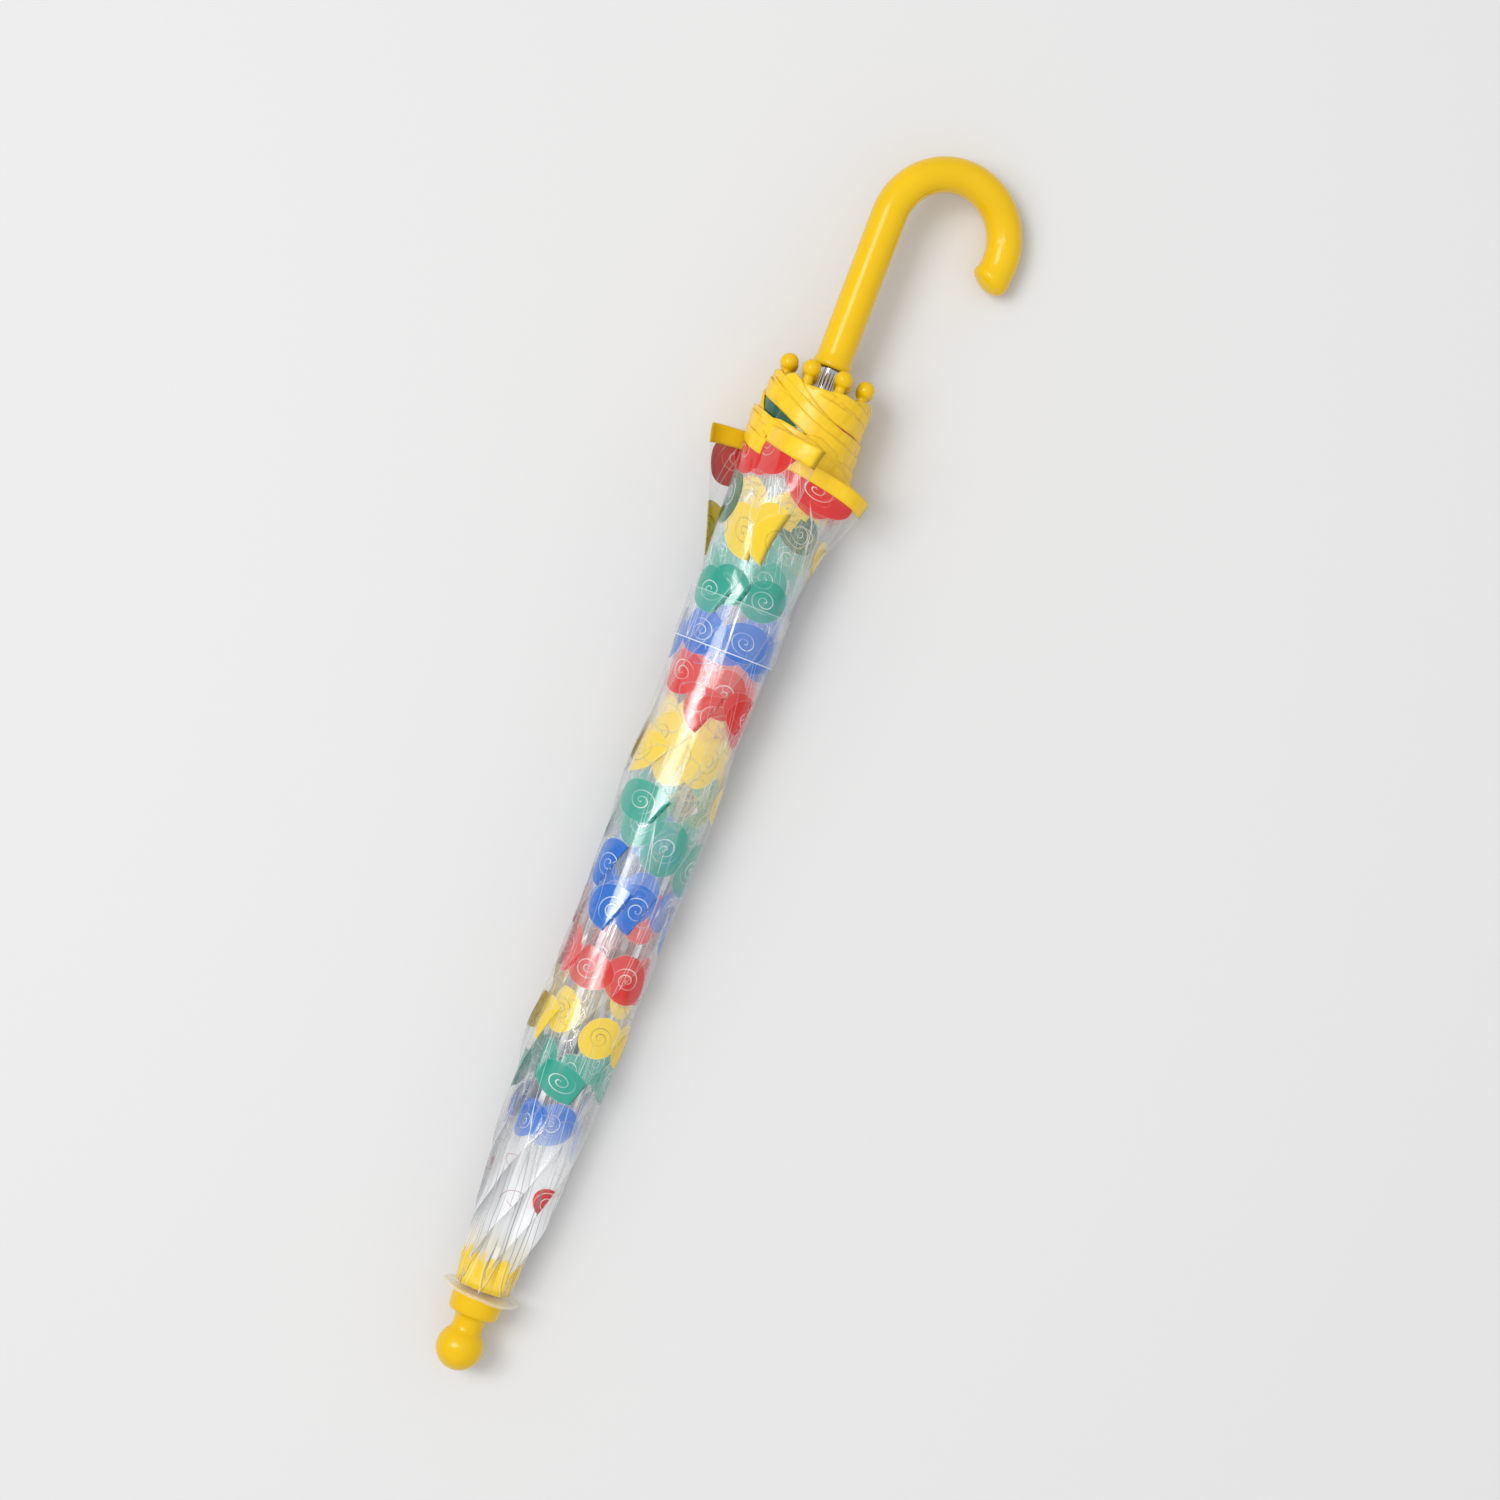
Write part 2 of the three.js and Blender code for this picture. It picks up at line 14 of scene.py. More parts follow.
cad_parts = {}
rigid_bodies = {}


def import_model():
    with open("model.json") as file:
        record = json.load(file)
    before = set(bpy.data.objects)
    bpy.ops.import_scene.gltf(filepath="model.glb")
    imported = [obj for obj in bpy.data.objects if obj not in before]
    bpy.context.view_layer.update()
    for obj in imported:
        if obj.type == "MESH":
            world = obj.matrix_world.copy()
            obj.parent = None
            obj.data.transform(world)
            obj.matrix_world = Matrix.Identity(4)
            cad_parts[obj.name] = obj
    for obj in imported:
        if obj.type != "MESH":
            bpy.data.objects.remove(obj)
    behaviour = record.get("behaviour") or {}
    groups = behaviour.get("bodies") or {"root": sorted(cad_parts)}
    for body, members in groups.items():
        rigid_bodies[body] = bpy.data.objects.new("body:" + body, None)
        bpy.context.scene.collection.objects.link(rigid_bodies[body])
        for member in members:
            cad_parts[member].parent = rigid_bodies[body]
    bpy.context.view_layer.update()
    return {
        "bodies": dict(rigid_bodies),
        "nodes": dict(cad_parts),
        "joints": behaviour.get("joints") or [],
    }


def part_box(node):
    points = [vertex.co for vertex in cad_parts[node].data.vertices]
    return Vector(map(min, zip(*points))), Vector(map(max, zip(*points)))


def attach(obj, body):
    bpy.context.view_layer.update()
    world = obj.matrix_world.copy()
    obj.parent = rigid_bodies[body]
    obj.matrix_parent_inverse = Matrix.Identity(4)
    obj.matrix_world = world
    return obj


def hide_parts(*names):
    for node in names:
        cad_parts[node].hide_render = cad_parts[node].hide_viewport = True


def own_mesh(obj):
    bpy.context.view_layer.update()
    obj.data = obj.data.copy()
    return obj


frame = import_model()
MM = 0.001

# ---------- Frame of the umbrella, worked out from the joints ----------

joints = {joint["name"]: joint for joint in frame["joints"]}
slide = joints["runner_slide"]
RIBS = 8
PIVOT_X = 38 * MM                 # rib pivots, from the centre of the ball
PIVOT_RADIUS = 9 * MM
RIB_LENGTH = 465 * MM
CLOSED = radians(1.5)             # a rib to the shaft
OPEN = radians(65)
FIRST_RIB = radians(-22.5)
RIB_STEP = 2 * pi / RIBS

along = -Vector(slide["axis"])
across = Vector((0, 1, 0))
upward = along.cross(across)
rib_pivots = [Vector(joints[f"rib_{i + 1}_fold"]["pos_m"]) for i in range(RIBS)]
ball_centre = sum(rib_pivots, Vector()) / RIBS - along * PIVOT_X
STAND = Matrix.Translation(ball_centre) @ Matrix((along, across, upward)).transposed().to_4x4()
TRAVEL = slide["range_m"][1]


def lerp(a, b, share):
    return a + (b - a) * share


def smooth(low, high, value):
    """0 below low, 1 above high, and a soft step between."""
    share = min(1, max(0, (value - low) / (high - low)))
    return share * share * (3 - 2 * share)


def on_curve(points, x):
    """A soft curve through (x, value) points."""
    if x <= points[0][0]:
        return points[0][1]
    for (x0, y0), (x1, y1) in zip(points, points[1:]):
        if x <= x1:
            share = (x - x0) / (x1 - x0)
            return lerp(y0, y1, share * share * (3 - 2 * share))
    return points[-1][1]


# ---------- Camera, floor and lights ----------

VIEW_CENTRE_X = 321.3 * MM        # along the shaft
VIEW_CENTRE_SIDE = 29 * MM        # towards the crook's side
VIEW_WIDTH = 727 * MM
SHAFT_ANGLE = radians(20.8)       # the shaft to the picture's upright
LENS = 85
SENSOR = 36
FLOOR_REACH = 14
FLOOR_COLOUR = (0.725, 0.725, 0.725)
SKY_LOW = 0.45                    # brightness of the surroundings, low and high
SKY_HIGH = 0.72

picture_right = Vector((sin(SHAFT_ANGLE), -cos(SHAFT_ANGLE), 0))
picture_up = Vector((cos(SHAFT_ANGLE), sin(SHAFT_ANGLE), 0))
target = STAND @ Vector((VIEW_CENTRE_X, -VIEW_CENTRE_SIDE, 0))


def add_camera():
    camera = bpy.data.objects.new("camera", bpy.data.cameras.new("camera"))
    bpy.context.scene.collection.objects.link(camera)
    camera.data.lens = LENS
    camera.data.sensor_width = SENSOR
    distance = VIEW_WIDTH * LENS / SENSOR
    turn = Matrix((picture_right, picture_up, Vector((0, 0, 1)))).transposed()
    camera.matrix_world = Matrix.Translation(target + Vector((0, 0, distance))) @ turn.to_4x4()
    bpy.context.scene.camera = camera


def add_light(name, side, rise, height, size, power):
    """An area light at (side, rise, height) from the view's centre, in the picture's directions."""
    data = bpy.data.lights.new(name, "AREA")
    data.shape = "RECTANGLE"
    data.size, data.size_y = size
    data.energy = power
    light = bpy.data.objects.new(name, data)
    bpy.context.scene.collection.objects.link(light)
    place = target + picture_right * side + picture_up * rise + Vector((0, 0, height))
    aim = (target - place).to_track_quat("-Z", "Y").to_matrix()
    light.matrix_world = Matrix.Translation(place) @ aim.to_4x4()


def add_studio():
    floor_mesh = bpy.data.meshes.new("floor")
    reach = FLOOR_REACH
    corners = [(-reach, -reach, 0), (reach, -reach, 0), (reach, reach, 0), (-reach, reach, 0)]
    floor_mesh.from_pydata(corners, [], [(0, 1, 2, 3)])
    floor_piece = bpy.data.objects.new("floor", floor_mesh)
    bpy.context.scene.collection.objects.link(floor_piece)
    floor_piece.data.materials.append(plain_material("pale_floor", FLOOR_COLOUR, 0.9))
    add_light("key_softbox", -3.0, 1.8, 6.8, (3.0, 3.0), 200)
    add_light("strip_softbox", -0.62, 0.1, 1.6, (0.15, 1.7), 6.0)
    world = bpy.data.worlds.new("studio")
    world.use_nodes = True
    background = world.node_tree.nodes["Background"]
    background.inputs["Color"].default_value = (1, 1, 1, 1)
    maths = Maths(world.node_tree)
    facing = maths.node("ShaderNodeTexCoord").outputs["Generated"]
    glow = maths.mapped(maths.parts(facing)[2], 0.05, 0.65, SKY_LOW, SKY_HIGH)
    world.node_tree.links.new(glow, background.inputs["Strength"])
    scene = bpy.context.scene
    scene.world = world
    scene.view_settings.view_transform = "Standard"
    scene.cycles.transparent_max_bounces = 48
    scene.cycles.max_bounces = 10


# ---------- Material tools ----------

def new_material(name):
    material = bpy.data.materials.new(name)
    material.use_nodes = True
    tree = material.node_tree
    return material, tree, tree.nodes["Principled BSDF"]


def plain_material(name, colour, roughness):
    material, _, shader = new_material(name)
    shader.inputs["Base Color"].default_value = (*colour, 1)
    shader.inputs["Roughness"].default_value = roughness
    return material


def socket_in(group, name, kind, value=None):
    socket = group.interface.new_socket(name, in_out="INPUT", socket_type=kind)
    if value is not None:
        socket.default_value = value
    return socket


def socket_out(group, name, kind):
    return group.interface.new_socket(name, in_out="OUTPUT", socket_type=kind)


class Maths:
    """Short hand for Math nodes in one node tree."""

    def __init__(self, tree):
        self.tree = tree

    def __call__(self, operation, first, second=None, third=None, clamp=False):
        node = self.tree.nodes.new("ShaderNodeMath")
        node.operation = operation
        node.use_clamp = clamp
        for slot, value in zip(node.inputs, (first, second, third)):
            if value is None:
                continue
            if isinstance(value, (int, float)):
                slot.default_value = value
            else:
                self.tree.links.new(value, slot)
        return node.outputs[0]

    def node(self, kind, **links):
        made = self.tree.nodes.new(kind)
        for name, value in links.items():
            slot = made.inputs[name.replace("_", " ")]
            if hasattr(value, "is_output"):
                self.tree.links.new(value, slot)
            else:
                slot.default_value = value
        return made

    def mapped(self, value, low, high, to_low=0.0, to_high=1.0):
        """to_low where value is low, to_high where it is high."""
        made = self.node("ShaderNodeMapRange", Value=value, From_Min=low, From_Max=high,
                         To_Min=to_low, To_Max=to_high)
        return made.outputs["Result"]

    def soft_below(self, value, edge, softness):
        """1 where value is under edge, 0 over it, soft between."""
        return self.mapped(value, edge - softness, edge + softness, 1.0, 0.0)

    def oval(self, x, half_length, y, half_width):
        """0 in the middle of an oval, 1 on its edge."""
        return self("SQRT", self("ADD", self("POWER", self("DIVIDE", x, half_length), 2.0),
                                 self("POWER", self("DIVIDE", y, half_width), 2.0)))

    def parts(self, vector):
        return self.node("ShaderNodeSeparateXYZ", Vector=vector).outputs

    def mix_colour(self, share, first, second):
        made = self.tree.nodes.new("ShaderNodeMix")
        made.data_type = "RGBA"
        for slot, value in ((made.inputs[0], share), (made.inputs[6], first), (made.inputs[7], second)):
            if hasattr(value, "is_output"):
                self.tree.links.new(value, slot)
            else:
                slot.default_value = value
        return made.outputs[2]


def surface_grain_group():
    """Fine unevenness of a moulded or drawn surface: a height and a slow tone."""
    group = bpy.data.node_groups.new("surface_grain", "ShaderNodeTree")
    socket_in(group, "Scale", "NodeSocketFloat", 200.0)
    socket_in(group, "Stretch", "NodeSocketFloat", 1.0)
    for name in ("Height", "Tone"):
        socket_out(group, name, "NodeSocketFloat")
    maths = Maths(group)
    given = group.nodes.new("NodeGroupInput")
    place = group.nodes.new("ShaderNodeTexCoord").outputs["Object"]
    x, y, z = maths.parts(place)
    drawn = maths("MULTIPLY", x, given.outputs["Stretch"])
    pulled = maths.node("ShaderNodeCombineXYZ", X=drawn, Y=y, Z=z).outputs[0]
    fine = maths.node("ShaderNodeTexNoise", Vector=pulled, Scale=given.outputs["Scale"], Detail=3.0)
    slow = maths.node("ShaderNodeTexNoise", Vector=place, Scale=22.0, Detail=2.0)
    out = group.nodes.new("NodeGroupOutput")
    group.links.new(fine.outputs[0], out.inputs["Height"])
    group.links.new(slow.outputs[0], out.inputs["Tone"])
    return group


def grained(tree, scale, stretch=1.0):
    node = tree.nodes.new("ShaderNodeGroup")
    node.node_tree = GRAIN
    node.inputs["Scale"].default_value = scale
    node.inputs["Stretch"].default_value = stretch
    return node


def finish_with_grain(name, dark, light, rough, scale, stretch, strength, distance, metallic=0.0):
    """A solid material whose tone, roughness and surface all vary with the grain."""
    material, tree, shader = new_material(name)
    maths = Maths(tree)
    grain = grained(tree, scale, stretch)
    tone = maths.mapped(grain.outputs["Tone"], 0.35, 0.65)
    tree.links.new(maths.mix_colour(tone, (*dark, 1), (*light, 1)), shader.inputs["Base Color"])
    tree.links.new(maths.mapped(grain.outputs["Height"], 0.3, 0.7, *rough), shader.inputs["Roughness"])
    bump = maths.node("ShaderNodeBump", Strength=strength, Distance=distance, Height=grain.outputs["Height"])
    tree.links.new(bump.outputs[0], shader.inputs["Normal"])
    shader.inputs["Metallic"].default_value = metallic
    return material, shader


# ---------- Print on the film ----------

ROW_PITCH = 30.8                  # millimetres, rows of shells from hem to crown
COLUMN_PITCH = 37.0
LAST_ROW = 12                     # counted from 0 at the hem
APEX = radians(20.4)              # half angle of a gore's flat cut
HEM_LENGTH = RIB_LENGTH / MM * cos(APEX)
SHELL_HALF_LENGTH = 11.8
SHELL_HALF_WIDTH = 10.0
SPIRAL_PITCH = 2.9
SPIRAL_REACH = 5.9
LEFT_OUT = 0.46                   # share of the shells that aren't printed
HIDDEN_GORE = 7.0                 # its hem row is green and larger
# Open curls beside a shell: distance from it, half length, half height, and the side that is drawn.
CURLS = [(13.5, 7.0, 4.8, 1.0), (11.5, 4.4, 7.5, -1.0)]
STRAP_WIDTH = 25 * MM
INKS = {
    "red": (0.66, 0.008, 0.004, 1), "yellow": (0.87, 0.60, 0.004, 1),
    "teal": (0.008, 0.33, 0.24, 1), "blue": (0.003, 0.135, 0.56, 1), "green": (0.002, 0.10, 0.055, 1),
    "crown": (0.90, 0.60, 0.008, 1), "curl": (0.03, 0.04, 0.12, 1),
}
PALE_LINE = (0.80, 0.84, 0.80, 1)
OLIVE_LINE = (0.16, 0.17, 0.02, 1)


def shell_print_group():
    """Rows of spiral shells. Cut is a place on the flat gore: from its apex, sideways, and gore number."""
    group = bpy.data.node_groups.new("shell_print", "ShaderNodeTree")
    socket_in(group, "Cut", "NodeSocketVector")
    socket_out(group, "Ink", "NodeSocketColor")
    socket_out(group, "Cover", "NodeSocketFloat")
    maths = Maths(group)
    given = group.nodes.new("NodeGroupInput")
    down, side, gore = maths.parts(given.outputs["Cut"])
    gore_seed = maths.node("ShaderNodeCombineXYZ", X=gore).outputs[0]
    roll_shift = maths.node("ShaderNodeTexWhiteNoise", Vector=gore_seed)
    # each gore was cut from the printed roll a little higher or lower
    on_roll = maths("ADD", down, maths("MULTIPLY", maths("SUBTRACT", roll_shift.outputs["Value"], 0.5), 12.0))
    up = maths("SUBTRACT", HEM_LENGTH + 2, on_roll)
    # rows wander, each gore's a little differently
    wander = maths.node("ShaderNodeSeparateColor", Color=roll_shift.outputs["Color"]).outputs[0]
    wander = maths("ADD", maths("MULTIPLY", wander, 0.012), 0.0095)
    drift = maths("MULTIPLY", maths("SINE", maths("MULTIPLY", up, wander)), 11.0)
    rows = maths("DIVIDE", maths("ADD", up, drift), ROW_PITCH)
    row = maths("FLOOR", rows)
    columns = maths("DIVIDE", maths("ADD", side, maths("MULTIPLY", row, 13.7)), COLUMN_PITCH)
    column = maths("FLOOR", columns)
    seed = maths.node("ShaderNodeCombineXYZ", X=row, Y=column, Z=gore)
    chance = maths.node("ShaderNodeTexWhiteNoise", Vector=seed.outputs[0])
    draws = maths.node("ShaderNodeSeparateColor", Color=chance.outputs["Color"])
    x = maths("MULTIPLY", maths("SUBTRACT", maths("FRACT", rows), 0.5), ROW_PITCH)
    y = maths("MULTIPLY", maths("SUBTRACT", maths("FRACT", columns), 0.5), COLUMN_PITCH)
    x = maths("ADD", x, maths("MULTIPLY", maths("SUBTRACT", draws.outputs[0], 0.5), 3.0))
    y = maths("ADD", y, maths("MULTIPLY", maths("SUBTRACT", draws.outputs[1], 0.5), 7.0))
    turn = maths("MULTIPLY", draws.outputs[2], 2 * pi)
    flat = maths.node("ShaderNodeCombineXYZ", X=x, Y=y)
    spun = maths.node("ShaderNodeVectorRotate", Vector=flat.outputs[0], Angle=turn)
    u, v, _ = maths.parts(spun.outputs[0])
    hem_row = maths("COMPARE", row, 0.0, 0.1)
    hidden_gore = maths("MULTIPLY", hem_row, maths("COMPARE", gore, HIDDEN_GORE, 0.1))
    # shell: a rounded blob
    angle = maths("ARCTAN2", v, u)
    wobble = maths("MULTIPLY", maths("SINE", maths("MULTIPLY", angle, 2.0)), 0.05)
    reach = maths.oval(u, SHELL_HALF_LENGTH, v, SHELL_HALF_WIDTH)
    last_row = maths("GREATER_THAN", row, LAST_ROW - 0.5)
    bigger = maths("ADD", maths("MULTIPLY", hidden_gore, 0.6), maths("MULTIPLY", hem_row, 0.12))
    bigger = maths("SUBTRACT", bigger, maths("MULTIPLY", last_row, 0.35))
    shell = maths.soft_below(maths("SUBTRACT", maths("ADD", reach, wobble), bigger), 1.0, 0.015)
    left_out = maths("ADD", maths("MULTIPLY", last_row, 0.2), LEFT_OUT)
    kept = maths("GREATER_THAN", chance.outputs["Value"], left_out)
    kept = maths("MULTIPLY", maths("MAXIMUM", kept, hem_row), maths("LESS_THAN", row, LAST_ROW + 0.5))
    shell = maths("MULTIPLY", shell, kept)
    # spiral: one line winding out from the middle
    radius = maths.oval(u, 1.0, v, 1.0)
    wind = maths("SUBTRACT", maths("DIVIDE", radius, SPIRAL_PITCH), maths("DIVIDE", angle, 2 * pi))
    line = maths.soft_below(maths("ABSOLUTE", maths("SUBTRACT", maths("FRACT", wind), 0.5)), 0.075, 0.03)
    line = maths("MULTIPLY", line, maths.soft_below(radius, SPIRAL_REACH, 0.4))
    press = maths("MULTIPLY", maths("SINE", maths("ADD", angle, turn)), 0.3)
    line = maths("MULTIPLY", line, maths("ADD", press, 0.6))
    line = maths("MULTIPLY", line, shell)
    # thin open curls beside the shell
    curls = []
    for shift, width, height, open_side in CURLS:
        far = maths.oval(maths("SUBTRACT", u, shift), width, v, height)
        near = maths("ABSOLUTE", maths("SUBTRACT", far, 1.0))
        thin = 0.22 / sqrt(width * height)
        curls.append(maths("MULTIPLY", maths.soft_below(near, thin, thin / 2),
                           maths.soft_below(maths("MULTIPLY", v, open_side), 0.8, 0.3)))
    curls = maths("MULTIPLY", maths("MAXIMUM", *curls), maths("SUBTRACT", 1.0, shell))
    curls = maths("MULTIPLY", curls, maths("LESS_THAN", row, LAST_ROW + 0.5))
    # ink colour by row, from the hem: red, yellow, teal, blue
    ramp = group.nodes.new("ShaderNodeValToRGB")
    ramp.color_ramp.interpolation = "CONSTANT"
    stops = ramp.color_ramp.elements
    stops[0].position, stops[0].color = 0.0, INKS["red"]
    stops[1].position, stops[1].color = 0.25, INKS["yellow"]
    for position, name in ((0.5, "teal"), (0.75, "blue")):
        stops.new(position).color = INKS[name]
    cycle = maths("FRACT", maths("DIVIDE", maths("ADD", row, 0.5), 4.0))
    group.links.new(cycle, ramp.inputs[0])
    second_row = maths("COMPARE", row, 1.0, 0.1)
    odd = maths("COMPARE", maths("MODULO", maths("ABSOLUTE", column), 2.0), 1.0, 0.1)
    green = maths("MAXIMUM", maths("MULTIPLY", second_row, odd), hidden_gore)
    ink = maths.mix_colour(green, ramp.outputs[0], INKS["green"])
    yellowish = maths("COMPARE", cycle, 0.375, 0.02)
    light_line = maths.mix_colour(maths("MULTIPLY", yellowish, maths("SUBTRACT", 1.0, green)),
                                  PALE_LINE, OLIVE_LINE)
    ink = maths.mix_colour(line, ink, light_line)
    ink = maths.mix_colour(maths("MULTIPLY", curls, 0.5), ink, INKS["curl"])
    # yellow crown: short rounded patches, and a pale tint that fades out past them
    petal = maths("PINGPONG", maths("ADD", side, maths("MULTIPLY", gore, 4.1)), 3.6)
    rounding = maths("MULTIPLY", maths("MULTIPLY", petal, petal), 0.30)
    crown = maths.soft_below(maths("ADD", down, rounding), 12.5, 0.7)
    tint = maths("MULTIPLY", maths.soft_below(down, 19.0, 7.0), 0.34)
    crown = maths("MAXIMUM", crown, tint)
    near_crown = maths.soft_below(down, 30.0, 1.0)
    ink = maths.mix_colour(near_crown, ink, INKS["crown"])
    printed = maths("MAXIMUM", shell, maths("MULTIPLY", curls, 0.8))
    out = group.nodes.new("NodeGroupOutput")
    group.links.new(ink, out.inputs["Ink"])
    group.links.new(maths("MAXIMUM", printed, crown), out.inputs["Cover"])
    return group


def film_creases_group():
    """Long creases beside the ribs: a height, and thin bright and dark lines along them. The bright lines are
    painted highlights where the folds catch light, the dark ones painted shade in the folds.
    """
    group = bpy.data.node_groups.new("film_creases_and_painted_lines", "ShaderNodeTree")
    socket_in(group, "Cut", "NodeSocketVector")
    for name in ("Height", "Lines", "Painted Shade Lines"):
        socket_out(group, name, "NodeSocketFloat")
    maths = Maths(group)
    given = group.nodes.new("NodeGroupInput")
    down, across_cut, gore = maths.parts(given.outputs["Cut"])
    side = maths("ABSOLUTE", across_cut)
    beside = maths("ADD", maths("MULTIPLY", down, cos(APEX)), maths("MULTIPLY", side, sin(APEX)))
    out_from = maths("SUBTRACT", maths("MULTIPLY", down, sin(APEX)), maths("MULTIPLY", side, cos(APEX)))
    half = maths("ADD", maths("MULTIPLY", gore, 7.0), maths("SIGN", across_cut))

    def streaks(length, width, detail, twist):
        place = maths.node("ShaderNodeCombineXYZ", X=maths("DIVIDE", beside, length),
                           Y=maths("DIVIDE", out_from, width), Z=half)
        noise = maths.node("ShaderNodeTexNoise", Vector=place.outputs[0], Scale=1.0, Detail=detail,
                           Distortion=twist)
        return noise.outputs[0]

    def near(value, level, half_width, softness):
        return maths.soft_below(maths("ABSOLUTE", maths("SUBTRACT", value, level)), half_width, softness)

    fine = streaks(150.0, 7.0, 1.0, 0.15)
    broad = streaks(80.0, 17.0, 0.0, 0.4)
    height = maths("ADD", maths("MULTIPLY", fine, 0.28), broad)
    # painted highlights: thin bright lines where fold edges catch light, on some stretches and everywhere
    # near the crown
    thin = near(streaks(190.0, 5.0, 0.0, 0.1), 0.45, 0.005, 0.004)
    some = maths.mapped(streaks(60.0, 9.0, 0.0, 0.0), 0.55, 0.61)
    some = maths("MAXIMUM", some, maths.soft_below(down, 70.0, 30.0))
    # painted shade: thin dark lines in the folds, near the crown only
    painted_fold_shade = near(streaks(170.0, 4.0, 0.0, 0.1), 0.53, 0.016, 0.010)
    painted_fold_shade = maths("MULTIPLY", painted_fold_shade, maths.soft_below(down, 105.0, 60.0))
    out = group.nodes.new("NodeGroupOutput")
    group.links.new(height, out.inputs["Height"])
    group.links.new(maths("MULTIPLY", thin, some), out.inputs["Lines"])
    group.links.new(painted_fold_shade, out.inputs["Painted Shade Lines"])
    return group


def lighter_in_shadow(tree, maths, cover, share):
    """The cover that a ray meets: a share of it where light only passes on to what lies behind."""
    path = tree.nodes.new("ShaderNodeLightPath")
    passing = maths("MAXIMUM", path.outputs["Is Shadow Ray"], path.outputs["Is Diffuse Ray"])
    return maths("MULTIPLY", cover, maths("SUBTRACT", 1.0, maths("MULTIPLY", passing, 1.0 - share)))


def film_material(name, printed):
    """Clear vinyl film. It hides more at grazing angles and where it is gathered at the crown."""
    material, tree, shader = new_material(name)
    maths = Maths(tree)
    cut = maths.node("ShaderNodeAttribute")
    cut.attribute_name = "cut"
    creases = tree.nodes.new("ShaderNodeGroup")
    creases.node_tree = CREASES
    tree.links.new(cut.outputs["Vector"], creases.inputs["Cut"])
    bump = maths.node("ShaderNodeBump", Strength=0.55, Distance=0.0026, Height=creases.outputs["Height"])
    tree.links.new(bump.outputs[0], shader.inputs["Normal"])
    weight = maths.node("ShaderNodeLayerWeight", Blend=0.35)
    tree.links.new(bump.outputs[0], weight.inputs["Normal"])
    glancing = maths("MULTIPLY", maths("POWER", weight.outputs["Facing"], 3.0), 0.5)
    down = maths.parts(cut.outputs["Vector"])[0]
    gathered = maths("MULTIPLY", maths.soft_below(down, 58.0, 30.0), 0.64 if printed else 0.0)
    # painted highlights: the crease lines painted white, on the printed film only
    lines = maths("MULTIPLY", creases.outputs["Lines"], 0.7 if printed else 0.0)
    clear = maths("ADD", maths("ADD", glancing, gathered), 0.03)
    clear = maths("MAXIMUM", clear, lines)
    white = (0.93, 0.95, 0.96, 1)
    if printed:
        prints = tree.nodes.new("ShaderNodeGroup")
        prints.node_tree = PRINT
        tree.links.new(cut.outputs["Vector"], prints.inputs["Cut"])
        colour = maths.mix_colour(prints.outputs["Cover"], white, prints.outputs["Ink"])
        # painted shade: the dark crease lines painted dark grey over the print
        painted_fold_shade = maths("MULTIPLY", creases.outputs["Painted Shade Lines"], 0.85)
        colour = maths.mix_colour(painted_fold_shade, colour, (0.16, 0.18, 0.19, 1))
        colour = maths.mix_colour(lines, colour, white)
        tree.links.new(colour, shader.inputs["Base Color"])
        inked = maths("MULTIPLY", prints.outputs["Cover"], 0.94)
        cover = maths("MAXIMUM", maths("MAXIMUM", clear, inked), painted_fold_shade)
    else:
        shader.inputs["Base Color"].default_value = white
        # painted highlights: thin white bands along the strap's two edges, the first brighter than the second
        painted_upper_edge_glint = maths.soft_below(down, 0.45, 0.1)
        painted_lower_edge_glint = maths.soft_below(maths("MULTIPLY", down, -1.0), -STRAP_WIDTH / MM + 0.5, 0.1)
        rim = maths("MAXIMUM", maths("MULTIPLY", painted_upper_edge_glint, 0.55), maths("MULTIPLY", painted_lower_edge_glint, 0.2))
        cover = maths("MAXIMUM", clear, rim)
    tree.links.new(lighter_in_shadow(tree, maths, cover, 0.15), shader.inputs["Alpha"])
    shader.inputs["Roughness"].default_value = 0.08 if printed else 0.32
    shader.inputs["IOR"].default_value = 1.54
    shader.inputs["Specular IOR Level"].default_value = 0.6
    shader.inputs["Coat Weight"].default_value = 0.5 if printed else 0.0
    shader.inputs["Coat Roughness"].default_value = 0.05
    return material


def hem_material():
    """Glossy yellow binding tape with a fine stitch-like gather across it."""
    material, tree, shader = new_material("yellow_hem_tape")
    maths = Maths(tree)
    cut = maths.node("ShaderNodeAttribute")
    cut.attribute_name = "cut"
    down, side, gore = maths.parts(cut.outputs["Vector"])
    spread = maths.node("ShaderNodeCombineXYZ", X=maths("MULTIPLY", down, 0.06),
                        Y=maths("MULTIPLY", side, 0.22), Z=gore)
    gathers = maths.node("ShaderNodeTexNoise", Vector=spread.outputs[0], Scale=1.0, Detail=3.0)
    tone = maths.mapped(gathers.outputs[0], 0.3, 0.7)
    colour = maths.mix_colour(tone, (0.86, 0.52, 0.004, 1), (0.95, 0.63, 0.012, 1))
    tree.links.new(colour, shader.inputs["Base Color"])
    bump = maths.node("ShaderNodeBump", Strength=0.4, Distance=0.0008, Height=gathers.outputs[0])
    tree.links.new(bump.outputs[0], shader.inputs["Normal"])
    tree.links.new(maths.mapped(gathers.outputs[0], 0.3, 0.7, 0.24, 0.4), shader.inputs["Roughness"])
    return material


